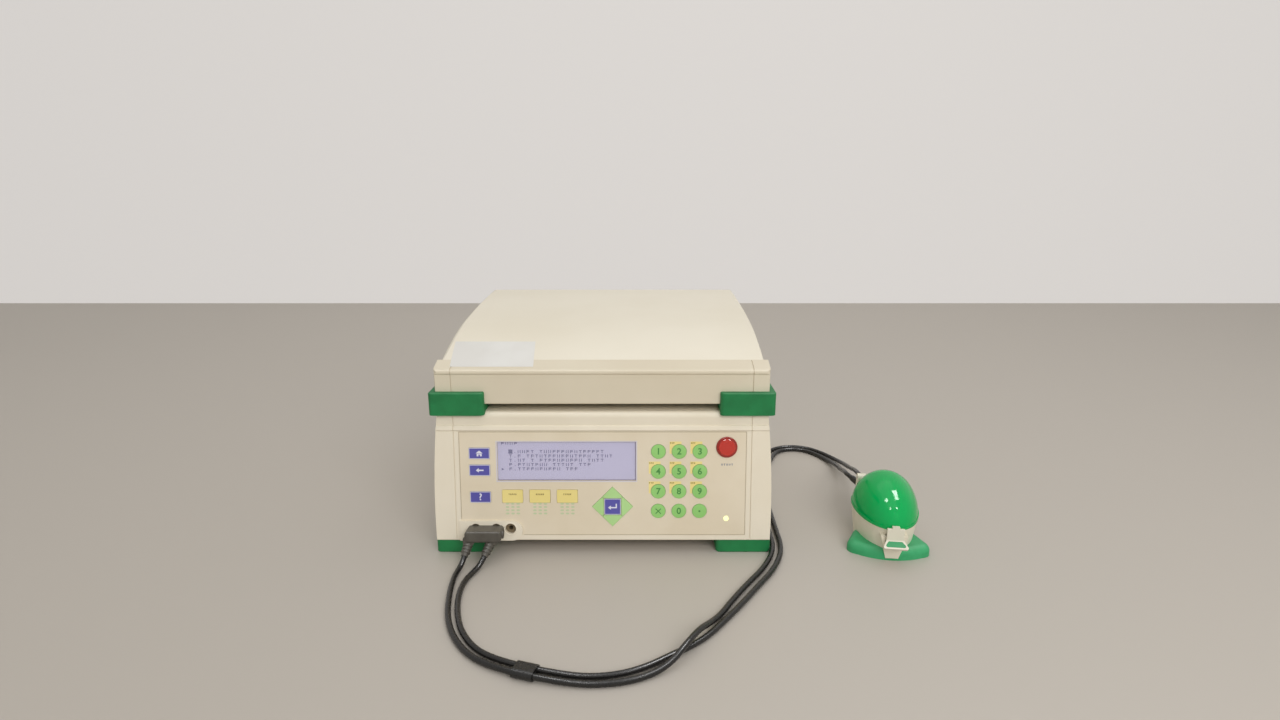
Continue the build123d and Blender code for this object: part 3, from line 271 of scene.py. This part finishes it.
paint(creamAbs, "main_bezel")
paint(moduleAbsPaintedShade, "module_bezel")
paint(creamCoat, "main_cover", "module_cover")
paint(zinc, "main_tray", "module_tray", "main_rear_panel")
paint(greenRubber, "stacking_boots", "main_feet")
paint(film, "keypad_overlay")
paint(windowPane, "display_window")
paint(screen, "display_module")
paint(board, "control_board", "resistor_board")
paint(redAcrylic, "pulse_button")
paint(redRing, "pulse_collar")
paint(lampLens, "status_lamp")
paint(blackAbs, "power_inlet", "power_rocker")
paint(plugPvc, "lead_plug")
paint(blackPvc, "chamber_plugs", "lead_sleeve")
paint(jackBrown, "output_jacks")
paint(coreSteel, "transformer")
paint(canAluminium, "capacitor_bank")
paint(screwZinc, "case_screws", "lid_hinge_pin", "latch_pin")
paint(paleGreenRubber, "chamber_foot")
paint(podAbs, "chamber_body")
paint(domeAcrylic, "chamber_lid")
paint(latchWhite, "latch_lever")
paint(padRubber, "latch_pad")
paint(holderWhite, "cuvette_holder")
paint(gold, "chamber_contacts")
paint(greenPrint, *[name for name in nodes if name.startswith("key_")])
paint(haloPrint, "key_home", "key_back", "key_help", "key_enter")
paint(yellowPrint, "key_soft_1", "key_soft_2", "key_soft_3")
paint(arrowPrint, "key_up", "key_left", "key_down", "key_right")
print("materials ready:", len(bpy.data.materials))


def plainMesh(holder):
    # an object's evaluated mesh as flat corners and faces, in millimetres on the keypad face
    mesh = bpy.data.meshes.new_from_object(holder.evaluated_get(bpy.context.evaluated_depsgraph_get()))
    return [(c.co.x, c.co.y) for c in mesh.vertices], [tuple(p.vertices) for p in mesh.polygons]


def runTree(tree, values):
    holder = meshObject("holder", [], [])
    modifier = holder.modifiers.new("repeat", "NODES")
    modifier.node_group = tree
    for socket in tree.interface.items_tree:
        if socket.in_out == "INPUT" and socket.name in values:
            modifier[socket.identifier] = values[socket.name]
    shape = plainMesh(holder)
    holder.modifiers.remove(modifier)
    bpy.data.objects.remove(holder)
    return shape


def startTree(name, inputs):
    tree = bpy.data.node_groups.new(name, "GeometryNodeTree")
    for label, kind in inputs.items():
        tree.interface.new_socket(label, in_out="INPUT", socket_type="NodeSocket" + kind)
    tree.interface.new_socket("Geometry", in_out="OUTPUT", socket_type="NodeSocketGeometry")
    return tree, tree.nodes.new("NodeGroupInput").outputs


def endTree(tree, geometry, ink):
    solid = addNode(tree, "GeometryNodeRealizeInstances", {"Geometry": geometry})
    painted = addNode(tree, "GeometryNodeSetMaterial",
                      {"Geometry": solid.outputs["Geometry"], "Material": ink})
    addNode(tree, "NodeGroupOutput", {"Geometry": painted.outputs["Geometry"]})
    return tree


def characterTree():
    # a line of unreadable characters: some places stay empty, the rest take one of three marks
    share = {"width": 0.62, "rise": 0.36}  # of the pitch and of the height
    tree, given = startTree("characterRow", {"Count": "Int", "Pitch": "Float", "Height": "Float",
                                             "Stroke": "Float", "Gaps": "Float", "Seed": "Int",
                                             "Ink": "Material"})
    step = addNode(tree, "ShaderNodeCombineXYZ", {"X": given["Pitch"]})
    line = addNode(tree, "GeometryNodeMeshLine", {"Count": given["Count"], "Offset": step.outputs["Vector"]})
    chance = addNode(tree, "FunctionNodeRandomValue", {"Probability": given["Gaps"], "Seed": given["Seed"]},
                     data_type="BOOLEAN")
    kept = addNode(tree, "GeometryNodeDeleteGeometry",
                   {"Geometry": line.outputs["Mesh"], "Selection": chance.outputs[3]})
    wide = addNode(tree, "ShaderNodeMath", {0: given["Pitch"], 1: share["width"]}, operation="MULTIPLY")
    spare = addNode(tree, "ShaderNodeMath", {0: wide.outputs[0], 1: given["Stroke"]}, operation="SUBTRACT")
    half = addNode(tree, "ShaderNodeMath", {0: spare.outputs[0], 1: 0.5}, operation="MULTIPLY")
    minus = addNode(tree, "ShaderNodeMath", {0: half.outputs[0], 1: -1.0}, operation="MULTIPLY")
    above = addNode(tree, "ShaderNodeMath", {0: given["Height"], 1: share["rise"]}, operation="MULTIPLY")
    left, right, rise = minus.outputs[0], half.outputs[0], above.outputs[0]
    upright = addNode(tree, "GeometryNodeMeshGrid", {"Size X": given["Stroke"], "Size Y": given["Height"],
                                                     "Vertices X": 2, "Vertices Y": 2})
    level = addNode(tree, "GeometryNodeMeshGrid", {"Size X": wide.outputs[0], "Size Y": given["Stroke"],
                                                   "Vertices X": 2, "Vertices Y": 2})
    marks = addNode(tree, "GeometryNodeJoinGeometry")
    for strokes in (((upright, left, 0), (level, 0, rise), (level, 0, 0)),
                    ((upright, left, 0), (upright, right, 0)),
                    ((upright, 0, 0), (level, 0, rise))):
        mark = addNode(tree, "GeometryNodeJoinGeometry")
        for stroke, x, y in strokes:
            shift = addNode(tree, "ShaderNodeCombineXYZ", {"X": x, "Y": y})
            moved = addNode(tree, "GeometryNodeTransform",
                            {"Geometry": stroke.outputs["Mesh"], "Translation": shift.outputs["Vector"]})
            tree.links.new(moved.outputs["Geometry"], mark.inputs["Geometry"])
        single = addNode(tree, "GeometryNodeGeometryToInstance")
        tree.links.new(mark.outputs["Geometry"], single.inputs["Geometry"])
        tree.links.new(single.outputs["Instances"], marks.inputs["Geometry"])
    pick = addNode(tree, "FunctionNodeRandomValue", {4: 0, 5: 2, "Seed": given["Seed"]}, data_type="INT")
    row = addNode(tree, "GeometryNodeInstanceOnPoints", {
        "Points": kept.outputs["Geometry"], "Instance": marks.outputs["Geometry"], "Pick Instance": True,
        "Instance Index": pick.outputs[2]})
    return endTree(tree, row.outputs["Instances"], given["Ink"])


def dotTree():
    # rows and columns of dots, each a wide rounded mark
    dotShape = {"sides": 14, "stretch": (1.6, 0.85, 1.0)}
    tree, given = startTree("dotGrid", {"Columns": "Int", "Rows": "Int", "Width": "Float", "Height": "Float",
                                        "Radius": "Float", "Ink": "Material"})
    grid = addNode(tree, "GeometryNodeMeshGrid",
                   {"Size X": given["Width"], "Size Y": given["Height"],
                    "Vertices X": given["Columns"], "Vertices Y": given["Rows"]})
    dot = addNode(tree, "GeometryNodeMeshCircle", {"Vertices": dotShape["sides"], "Radius": given["Radius"]},
                  fill_type="NGON")
    dots = addNode(tree, "GeometryNodeInstanceOnPoints",
                   {"Points": grid.outputs["Mesh"], "Instance": dot.outputs["Mesh"],
                    "Scale": dotShape["stretch"]})
    return endTree(tree, dots.outputs["Instances"], given["Ink"])


characters, dots = characterTree(), dotTree()


def characterRow(count, pitch, height, stroke, seed, ink, gaps=0.0):
    return runTree(characters, {"Count": count, "Pitch": pitch, "Height": height, "Stroke": stroke,
                                "Gaps": gaps, "Seed": seed, "Ink": ink})


def numberShape(text, size):
    curve = bpy.data.curves.new("number", "FONT")
    curve.body = text
    curve.size = size
    curve.align_x = "CENTER"
    curve.align_y = "CENTER"
    curve.offset = 0.18  # makes the strokes bold
    holder = bpy.data.objects.new("number", curve)
    scene.collection.objects.link(holder)
    shape = plainMesh(holder)
    bpy.data.objects.remove(holder)
    return shape


def outlineShape(*outlines):
    corners, faces = [], []
    for outline in outlines:
        faces.append(tuple(range(len(corners), len(corners) + len(outline))))
        corners += outline
    return corners, faces


def roundRect(width, height, radius, steps=5):
    corners = []
    for sx, sv, start in ((1, 1, 0), (-1, 1, 90), (-1, -1, 180), (1, -1, 270)):
        for i in range(steps + 1):
            angle = math.radians(start + 90 * i / steps)
            corners.append((sx * (width / 2 - radius) + radius * math.cos(angle),
                            sv * (height / 2 - radius) + radius * math.sin(angle)))
    return corners


def bar(x0, v0, x1, v1):
    return [(x0, v0), (x1, v0), (x1, v1), (x0, v1)]


def printOrShadeOn(name, shapes, proud, material, body):
    # shapes are (corners, faces), x, v: flat drawings and where their middles lie on the face
    corners, faces = [], []
    for shape, x, v in shapes:
        first = len(corners)
        corners += [onFace(x + a, v + b, proud) for a, b in shape[0]]
        faces += [tuple(first + i for i in face) for face in shape[1]]
    return finish(meshObject(name, corners, faces), body, material)


# heights above the film in millimetres; each print lies a hair above what carries it
panel = {"keyTop": 0.35, "tongueTop": 2.0, "screenTop": -2.3, "print": 0.05, "smallPrint": 0.09,
         "buttonPrint": 0.06, "keyPrint": 0.04, "glyph": 0.08}

numberKeys = {"keys": "clear 0 point 7 8 9 4 5 6 1 2 3".split(), "left": 50.8, "low": 28.5, "pitchX": 19.0,
              "pitchV": 18.8, "radius": 6.65, "crown": 0.3, "crownRim": 0.3, "crownLift": 0.02,
              "crownPower": 2.4, "numberSize": 8.2, "pointSize": 1.9,
              "cross": [(-2.7, -2.1), (-2.1, -2.7), (2.7, 2.1), (2.1, 2.7)]}
# yellow square behind a number key's upper left, cut out round the key
square = {"keys": "2 3 4 5 6 7 8 9".split(), "corner": [(-8.8, -2), (-8.8, 9.4), (2, 9.4)], "gap": 0.3,
          "arc": (73.3, 196.7), "steps": 14}
squareMark = {"count": 3, "pitch": 1.5, "height": 1.35, "stroke": 0.36, "at": (-7.9, 7.9)}


def crownedKey(name, x, v, body):
    # embossed top of a number key: a low dome in the film
    corners, faces, sides, rings = [onFace(x, v, panel["keyTop"] + numberKeys["crown"])], [], 36, 6
    for ring in range(1, rings + 1):
        reach = ring / rings
        rise = (panel["keyTop"] + numberKeys["crownLift"]
                + numberKeys["crown"] * (1 - reach ** numberKeys["crownPower"]))
        for i in range(sides):
            angle = 2 * math.pi * i / sides
            radius = (numberKeys["radius"] - numberKeys["crownRim"]) * reach
            corners.append(onFace(x + radius * math.cos(angle), v + radius * math.sin(angle), rise))
    for i in range(sides):
        faces.append((0, 1 + i, 1 + (i + 1) % sides))
        for ring in range(rings - 1):
            a, b = 1 + ring * sides, 1 + (ring + 1) * sides
            faces.append((a + i, b + i, b + (i + 1) % sides, a + (i + 1) % sides))
    return finish(meshObject(name, corners, faces, smooth=True), body, greenPrint)


def squareShape():
    edge, (start, end), steps = numberKeys["radius"] + square["gap"], square["arc"], square["steps"]
    arc = [math.radians(start + (end - start) * i / steps) for i in range(steps + 1)]
    outline = square["corner"] + [(edge * math.cos(a), edge * math.sin(a)) for a in arc]
    return outlineShape(outline[::-1])


def printNumberKeys():
    marks, squares = [], []
    for index, key in enumerate(numberKeys["keys"]):
        x = numberKeys["left"] + (index % 3) * numberKeys["pitchX"]
        v = numberKeys["low"] + (index // 3) * numberKeys["pitchV"]
        body = "key_" + key + "_pad"
        crownedKey("crown_" + key, x, v, body)
        top = panel["keyTop"] + numberKeys["crown"] + panel["print"]
        if key == "clear":
            shape = outlineShape(numberKeys["cross"], [(-a, b) for a, b in numberKeys["cross"][::-1]])
        elif key == "point":
            size = numberKeys["pointSize"]
            shape = outlineShape(roundRect(size, size, size / 2))
        else:
            shape = numberShape(key, numberKeys["numberSize"])
        printOrShadeOn("legend_" + key, [(shape, x, v)], top, greenInk, body)
        if key in square["keys"]:
            squares.append((squareShape(), x, v))
            mark = characterRow(squareMark["count"], squareMark["pitch"], squareMark["height"],
                                squareMark["stroke"], 1 + len(squares), brownInk)
            marks.append((mark, x + squareMark["at"][0], v + squareMark["at"][1]))
    printOrShadeOn("number_squares", squares, panel["print"], yellowPrint, "base")
    return marks


# side keys: x, v, width and height, with a pale margin round the blue
sideKeys = {"home": (-112.8, 83.2, 19.0, 10.4), "back": (-112.8, 67.3, 19.0, 10.4),
            "help": (-112.8, 41.8, 19.0, 10.4), "enter": (8.7, 32.7, 15.2, 15.2)}
sideKeyPrint = {"margin": 1.3, "corner": 0.5, "markSize": 9}
glyphs = {
    "home": ([(-3.3, 0), (3.3, 0), (0, 2.8)],
             [(-2.3, -0.3), (-2.3, -2.7), (-0.7, -2.7), (-0.7, -1.1), (0.7, -1.1), (0.7, -2.7), (2.3, -2.7),
              (2.3, -0.3)]),
    "back": ([(-3.6, 0), (-0.8, -2.1), (-0.8, 2.1)], bar(-0.8, -0.65, 3.6, 0.65)),
    "enter": ([(-4.2, -0.9), (-1.5, -3.0), (-1.5, 1.2)], bar(-1.5, -1.5, 4.0, -0.3),
              bar(2.8, -0.3, 4.0, 2.9))}


def printSideKeys():
    for key, (x, v, width, height) in sideKeys.items():
        body, slot = "key_" + key + "_pad", "key_film_blue" if key == "enter" else "key_film_side"
        margin = sideKeyPrint["margin"]
        face = outlineShape(roundRect(width - margin, height - margin, sideKeyPrint["corner"]))
        printOrShadeOn("print_" + key, [(face, x, v)], panel["keyTop"] + panel["keyPrint"], bluePrint, body)
        shape = outlineShape(*glyphs[key]) if key in glyphs else numberShape("?", sideKeyPrint["markSize"])
        printOrShadeOn("glyph_" + key, [(shape, x, v)], panel["keyTop"] + panel["glyph"], whitePrint, body)


# three keys under the display, each with a short mark on it and a grid of dots below
softKeys = {"count": 3, "left": -83.3, "pitch": 25.2, "v": 42.6}
softMark = {"count": 5, "pitch": 1.55, "height": 1.5, "stroke": 0.4, "at": (-3.1, 1.9), "seed": 20}
dotGrid = {"drop": 11.9, "Columns": 3, "Rows": 4, "Width": 9.8, "Height": 9.3, "Radius": 1.05}


def printSoftKeys():
    grids = []
    for i in range(softKeys["count"]):
        x, v, number = softKeys["left"] + i * softKeys["pitch"], softKeys["v"], str(i + 1)
        word = characterRow(softMark["count"], softMark["pitch"], softMark["height"], softMark["stroke"],
                            softMark["seed"] + i, brownInk)
        printOrShadeOn("mark_soft_" + number, [(word, x + softMark["at"][0], v + softMark["at"][1])],
                panel["keyTop"] + panel["print"], brownInk, "key_soft_" + number + "_pad")
        grids.append((runTree(dots, {**dotGrid, "Ink": palePrint}), x, v - dotGrid["drop"]))
    printOrShadeOn("dot_grids", grids, panel["print"], palePrint, "base")


# display: five lines of characters, a header, a dark block and a cursor, none of them readable
display = {"left": -84.7, "pitch": 4.0, "height": 2.9, "stroke": 0.62, "gaps": 0.09, "seed": 40,
           "lines": ((84.2, 22), (80.1, 24), (76.1, 22), (72.0, 19), (67.9, 16)),
           "block": bar(-1.9, -2.0, 1.9, 2.0), "point": bar(-0.35, -1.4, 0.35, -0.7), "firstSeed": 50,
           "header": (-91.8, 91.9), "headerCount": 4, "headerHeight": 2.4, "headerSeed": 60,
           "cursorAt": (-92.1, 67.6), "cursor": [(-1.0, -1.2), (1.4, 0), (-1.0, 1.2)], "proud": 0.06}


def printDisplay():
    rows, left, pitch = [], display["left"], display["pitch"]
    height, stroke = display["height"], display["stroke"]
    for line, (v, count) in enumerate(display["lines"]):
        row = characterRow(count - 2, pitch, height, stroke, display["seed"] + line, lcdInk, display["gaps"])
        rows.append((row, left + 2 * pitch, v))
        rows.append((outlineShape(display["point"]), left + pitch, v))
        first = outlineShape(display["block"]) if line == 0 else characterRow(
            1, pitch, height, stroke, display["firstSeed"] + line, lcdInk)
        rows.append((first, left, v))
    header = characterRow(display["headerCount"], pitch, display["headerHeight"], stroke,
                          display["headerSeed"], lcdInk)
    rows.append((header, *display["header"]))
    rows.append((outlineShape(display["cursor"]), *display["cursorAt"]))
    printOrShadeOn("display_marks", rows, panel["screenTop"] + display["proud"], lcdInk, "base")


# window: a painted shadow along the display just inside it, and a pale border printed round it
window = {"at": (-33.1, 75.6), "size": (127.0, 36.7), "proud": 0.04}
shadeReach = {"near": 0.2, "low": 0.8, "high": 0.7, "right": 0.8}  # in from the window's edge
borderReach = {"near": 0.1, "far": 1.1, "top": 0.9}  # out from it
# thin painted shadow line near the overlay's edge, where the film meets its recess, open at the lower left
overlayGapShadow = {"side": 131.05, "low": 5.5, "high": 103.3, "leftLow": 20.5, "lowLeft": -73.5, "width": 0.35}


def printAndShadeEdges():
    w, h = window["size"][0] / 2, window["size"][1] / 2
    near, low, high, right = (shadeReach[key] for key in ("near", "low", "high", "right"))
    shade = outlineShape(bar(-w + near, -h + near, w - near, -h + low),
                         bar(-w + near, h - high, w - near, h - near),
                         bar(w - right, -h + low, w - near, h - high))
    printOrShadeOn("display_edge", [(shade, *window["at"])], panel["screenTop"] + window["proud"], lcdShade, "base")
    near, far, top = (borderReach[key] for key in ("near", "far", "top"))
    border = outlineShape(bar(-w - far, -h - far, w + far, -h - near),
                          bar(-w - far, h + near, w + far, h + top),
                          bar(-w - far, -h - near, -w - near, h + near),
                          bar(w + near, -h - near, w + far, h + near))
    printOrShadeOn("window_border", [(border, *window["at"])], panel["print"], borderPrint, "base")
    side, low, high, width = (overlayGapShadow[key] for key in ("side", "low", "high", "width"))
    lines = outlineShape(bar(-side, high - width, side, high),
                         bar(-side, overlayGapShadow["leftLow"], -side + width, high - width),
                         bar(side - width, low, side, high - width),
                         bar(overlayGapShadow["lowLeft"], low, side - width, low + width))
    printOrShadeOn("overlay_gap_shadow", [(lines, 0, 0)], panel["print"], overlayGapShade, "base")


buttonMark = {"count": 5, "pitch": 2.3, "height": 1.9, "stroke": 0.5, "seed": 31, "at": (109.1, 72.6)}


def panelPrintAndShade():
    numberMarks = printNumberKeys()
    printSideKeys()
    printSoftKeys()
    printOrShadeOn("small_marks", numberMarks, panel["smallPrint"], brownInk, "base")
    under = characterRow(buttonMark["count"], buttonMark["pitch"], buttonMark["height"], buttonMark["stroke"],
                         buttonMark["seed"], blueGreyInk)
    printOrShadeOn("button_mark", [(under, *buttonMark["at"])], panel["buttonPrint"], blueGreyInk, "base")
    printDisplay()
    printAndShadeEdges()


def jackRing():
    # raised moulded ring round the free jack, half a round section
    ring = {"at": (-85.6, 12.0), "radius": 5.5, "thick": 0.55, "sunk": 0.02, "around": 48, "across": 8}
    (x, v), around, across = ring["at"], ring["around"], ring["across"]
    corners, faces = [], []
    for i in range(around):
        angle = 2 * math.pi * i / around
        for j in range(across + 1):
            turn = math.pi * j / across
            reach = ring["radius"] + ring["thick"] * math.cos(turn)
            corners.append(onFace(x + reach * math.cos(angle), v + reach * math.sin(angle),
                                  panel["tongueTop"] - ring["sunk"] + ring["thick"] * math.sin(turn)))
    step = across + 1
    for i in range(around):
        for j in range(across):
            a, b = i * step + j, (i + 1) % around * step + j
            faces.append((a, b, b + 1, a + 1))
    return finish(meshObject("jack_ring", corners, faces, smooth=True), "base", creamAbs)


def plugCap():
    # round moulded cap in the right-hand end of the twin plug; profile: share of its radius and of its reach
    cap = {"radius": 3.9, "reach": 1.5, "x": -91.9, "v": 10.2, "proud": 10.8, "around": 32,
           "profile": ((0.02, 0.5), (0.45, 0.5), (0.55, 0.9), (0.85, 1.0), (1.0, 0.8), (1.0, -0.4))}
    corners, faces, around = [], [], cap["around"]
    for part, reach in cap["profile"]:
        for i in range(around):
            angle = 2 * math.pi * i / around
            radius = cap["radius"] * part
            corners.append(onFace(cap["x"] + cap["reach"] * reach, cap["v"] + radius * math.cos(angle),
                                  cap["proud"] + radius * math.sin(angle)))
    for ring in range(len(cap["profile"]) - 1):
        for i in range(around):
            a, b = ring * around + i, ring * around + (i + 1) % around
            faces.append((b, a, a + around, b + around))
    faces.append(tuple(range(around)))
    return finish(meshObject("plug_cap", corners, faces, smooth=True), "base", plugPvc)


def coverLabel():
    # blank paper label on the module's cover, pressed on to the curve of the sheet
    label = {"backLeft": (-142.5, 66), "backRight": (-66, 66), "frontLeft": (-137, 19),
             "frontRight": (-62, 19), "proud": 0.1, "columns": 24, "rows": 20, "above": 400}
    under = [BVHTree.FromPolygons([c.co for c in nodes[name].data.vertices],
                                  [p.vertices for p in nodes[name].data.polygons])
             for name in ("module_cover", "module_bezel")]
    corners, faces, columns, rows = [], [], label["columns"], label["rows"]
    for row in range(rows + 1):
        for column in range(columns + 1):
            s, t = column / columns, row / rows
            front = Vector(label["frontLeft"]).lerp(Vector(label["frontRight"]), s)
            back = Vector(label["backLeft"]).lerp(Vector(label["backRight"]), s)
            spot = front.lerp(back, t)
            start = place(spot.x, spot.y, label["above"])
            hits = [tree.ray_cast(start, Vector((0, 0, -1)))[0] for tree in under]
            top = max(hit.z for hit in hits if hit)
            corners.append(Vector((*place(spot.x, spot.y, 0).xy, top + label["proud"] * mm)))
    for row in range(rows):
        for column in range(columns):
            a = row * (columns + 1) + column
            faces.append((a, a + 1, a + columns + 2, a + columns + 1))
    return finish(meshObject("blank_label", corners, faces, smooth=True), "base", paper)


panelPrintAndShade()
jackRing()
coverLabel()
print("panel printed")

# the two leads, from the twin plug round to the chamber, as in the CAD source: relief holds where each
# leaves the plug's relief, base and tip, and entry where it reaches the chamber, in the chamber's frame
leads = {
    "a": {"node": "lead_wire_a", "length": 0.986, "relief": ((-121, -10.5, 20), (-124, -23, 9)),
          "entry": ((-2, 34.5, 35.2), (-9, 49.5, 36.2)), "points": [
        (-127.7, -41.5, 2.6), (-127.2, -55, 2.6), (-124.4, -78, 2.6), (-118.6, -105, 2.6),
        (-107.5, -131, 2.6), (-89, -154.5, 2.6), (-62.5, -169.5, 3.9), (-33.5, -178.6, 3.9),
        (-4, -183.3, 2.6), (22, -181, 2.6),
        (43, -172.5, 2.6), (57, -162, 5), (67.5, -149.5, 10.2), (79, -131, 10.2), (89, -115.5, 5),
        (98.5, -101.5, 2.6), (110, -81.5, 2.6), (126, -57, 2.6), (146, -29, 2.6), (159.5, 3, 2.6),
        (160.5, 40, 2.6), (161.5, 83, 2.6), (164, 127, 2.6), (170, 168, 2.6), (180, 208, 2.6),
        (191, 238.5, 2.6), (202.5, 253.5, 2.6), (218, 262, 2.6), (236, 262, 2.6), (251, 254.5, 2.6),
        (264, 238.5, 2.6), (273.5, 217, 3.5), (277, 195, 7.5), (275, 170, 14), (271.5, 146.5, 22),
        (267.5, 124.5, 30), (264.8, 107.5, 35)]},
    "b": {"node": "lead_wire_b", "length": 0.944, "relief": ((-100.5, -10.5, 20), (-106, -23, 9)),
          "entry": ((-14.5, 34.5, 35.2), (-21.5, 49.5, 36.2)), "points": [
        (-113.5, -40.5, 2.6), (-117.6, -54, 2.6), (-117, -76, 2.6), (-111.5, -102, 2.6), (-101.5, -127, 2.6),
        (-84.5, -148.5, 2.6), (-59.5, -162.6, 3.9), (-31.5, -171.4, 3.9), (-5, -175.6, 2.6), (19, -173, 2.6),
        (39, -164.5, 2.6), (57.5, -151, 2.6), (73, -140.5, 2.6), (87, -127.5, 2.6), (101, -109, 2.6),
        (117, -87, 2.6), (133.5, -62, 2.6), (153.5, -33, 2.6), (167, 1, 2.6), (168, 40, 2.6), (169, 83, 2.6),
        (171.5, 126, 2.6), (177.5, 166, 2.6), (189, 206, 2.6), (200.5, 235.5, 2.6), (208.5, 247, 2.6),
        (220.5, 253.5, 2.6), (234, 253.5, 2.6), (245.5, 247.5, 2.6), (256.5, 232.5, 2.6), (264, 213, 3.5),
        (267, 193, 7), (264.3, 169, 13), (259.8, 146, 20.5), (255.5, 125.5, 29), (252.4, 108.5, 34.8)]}}
leadSize = {"diameter": 4.8, "out": 8, "back": 9}  # out of the relief and back from the entry, straight
chamber = {"spot": (269.8, 36.3), "turn": 6.8}


def podPoint(x, y, z):  # millimetres in the chamber's own frame, front towards -Y
    turn = math.radians(-chamber["turn"])
    spotX, spotY = chamber["spot"]
    return Vector((spotX + x * math.cos(turn) - y * math.sin(turn),
                   spotY + x * math.sin(turn) + y * math.cos(turn), z))


def makeLead(name, lead):
    reliefBase, reliefTip = (Vector(p) for p in lead["relief"])
    entryBase, entryTip = (podPoint(*p) for p in lead["entry"])
    out = (reliefTip - reliefBase).normalized() * leadSize["out"]
    back = (entryTip - entryBase).normalized() * leadSize["back"]
    points = [reliefTip, reliefTip + out, *lead["points"], entryTip + back, entryTip]
    curve = bpy.data.curves.new("lead_" + name, "CURVE")
    curve.dimensions = "3D"
    spline = curve.splines.new("NURBS")
    spline.points.add(len(points) - 1)
    for knot, point in zip(spline.points, points):
        knot.co = (*place(*point), 1)
    spline.order_u = 3
    spline.use_endpoint_u = True
    spline.resolution_u = 6
    curve.bevel_depth = leadSize["diameter"] / 2 * mm
    curve.bevel_resolution = 5
    curve.use_fill_caps = True
    piece = bpy.data.objects.new("lead_" + name, curve)
    scene.collection.objects.link(piece)
    finish(piece, "base", blackPvc)
    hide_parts(lead["node"])
    return piece, place(*points[0])


for name, lead in leads.items():
    piece, start = makeLead(name, lead)
    onIt = []
    if name == "a":
        onIt = [nodes["lead_plug"], nodes["lead_sleeve"], nodes["chamber_plugs"], plugCap()]
print("leads laid")


def studio():
    # painted floor and wall in metres; the wall shows pale to the camera and in gloss
    tones = {"floor": "#bdb6ad", "wall": "#e4e1dc", "pale": "#e2dedb", "paleShare": 0.7}
    room = {"side": 4, "front": -3, "back": 1.2, "low": -0.5, "high": 3}
    side, front, back, low, high = (room[key] for key in ("side", "front", "back", "low", "high"))
    floorPaint = startMaterial("paleFloorPaint",
                               {"Base Color": hexColor(tones["floor"]), "Roughness": 0.45})[0]
    floor = meshObject("floor", [(-side, front, 0), (side, front, 0), (side, back, 0), (-side, back, 0)],
                       [(0, 1, 2, 3)])
    floor.data.materials.append(floorPaint)
    wallPaint, tree, shader = startMaterial("paleWallPaint",
                                            {"Base Color": hexColor(tones["wall"]), "Roughness": 0.8})[:3]
    pale = addNode(tree, "ShaderNodeEmission", {"Color": hexColor(tones["pale"]), "Strength": 1.0})
    path = addNode(tree, "ShaderNodeLightPath")
    seen = addNode(tree, "ShaderNodeMath",
                   {0: path.outputs["Is Camera Ray"], 1: path.outputs["Is Glossy Ray"]},
                   operation="ADD", use_clamp=True)
    share = addNode(tree, "ShaderNodeMath", {0: seen.outputs[0], 1: tones["paleShare"]}, operation="MULTIPLY")
    mix = addNode(tree, "ShaderNodeMixShader",
                  {0: share.outputs[0], 1: shader.outputs[0], 2: pale.outputs[0]})
    tree.links.new(mix.outputs[0], tree.nodes["Material Output"].inputs["Surface"])
    wall = meshObject("wall", [(-side, back, low), (side, back, low), (side, back, high),
                               (-side, back, high)], [(0, 1, 2, 3)])
    wall.data.materials.append(wallPaint)


def lights():
    # where each lamp hangs, in metres from the datum, what it faces, its size, its watts and what it lights:
    # broad lamps give the shading, ceiling panels and small spots give the reflections on gloss
    lamps = {"above": ((0.1, 0.15, 1.7), (0.05, 0.15, 0), (2.4, 1.6), 6.5, "all"),
             "front": ((0.75, -1.6, 1.15), (0.2, 0.03, 0.05), (1.2, 0.9), 18, "shading"),
             "panelRight": ((1.03, 0.14, 1.9), (0.27, 0, 0.06), (0.8, 0.55), 26, "gloss"),
             "panelLeft": ((-0.43, -0.19, 1.92), (0.27, 0, 0.06), (0.32, 0.42), 8, "gloss"),
             "spotLeft": ((-0.21, -1.03, 1.7), (0.27, 0, 0.06), (0.22, 0.22), 3, "gloss"),
             "spotRight": ((0.9, -0.99, 1.67), (0.27, 0, 0.06), (0.22, 0.22), 3, "gloss")}
    sky = {"color": "#f4f2ee", "strength": 0.62}
    world = bpy.data.worlds.new("studio")
    scene.world = world
    world.use_nodes = True
    background = world.node_tree.nodes["Background"]
    background.inputs["Color"].default_value = hexColor(sky["color"])
    background.inputs["Strength"].default_value = sky["strength"]
    for name, (spot, target, size, watts, part) in lamps.items():
        light = bpy.data.lights.new(name, "AREA")
        light.shape = "RECTANGLE"
        light.size, light.size_y = size
        light.energy = watts
        lamp = bpy.data.objects.new(name, light)
        lamp.location = datum + Vector(spot)
        lamp.rotation_euler = (Vector(target) - Vector(spot)).to_track_quat("-Z", "Y").to_euler()
        lamp.visible_diffuse = part != "gloss"
        lamp.visible_glossy = part != "shading"
        scene.collection.objects.link(lamp)


studio()
lights()
scene.view_settings.view_transform = "Standard"

print("done")
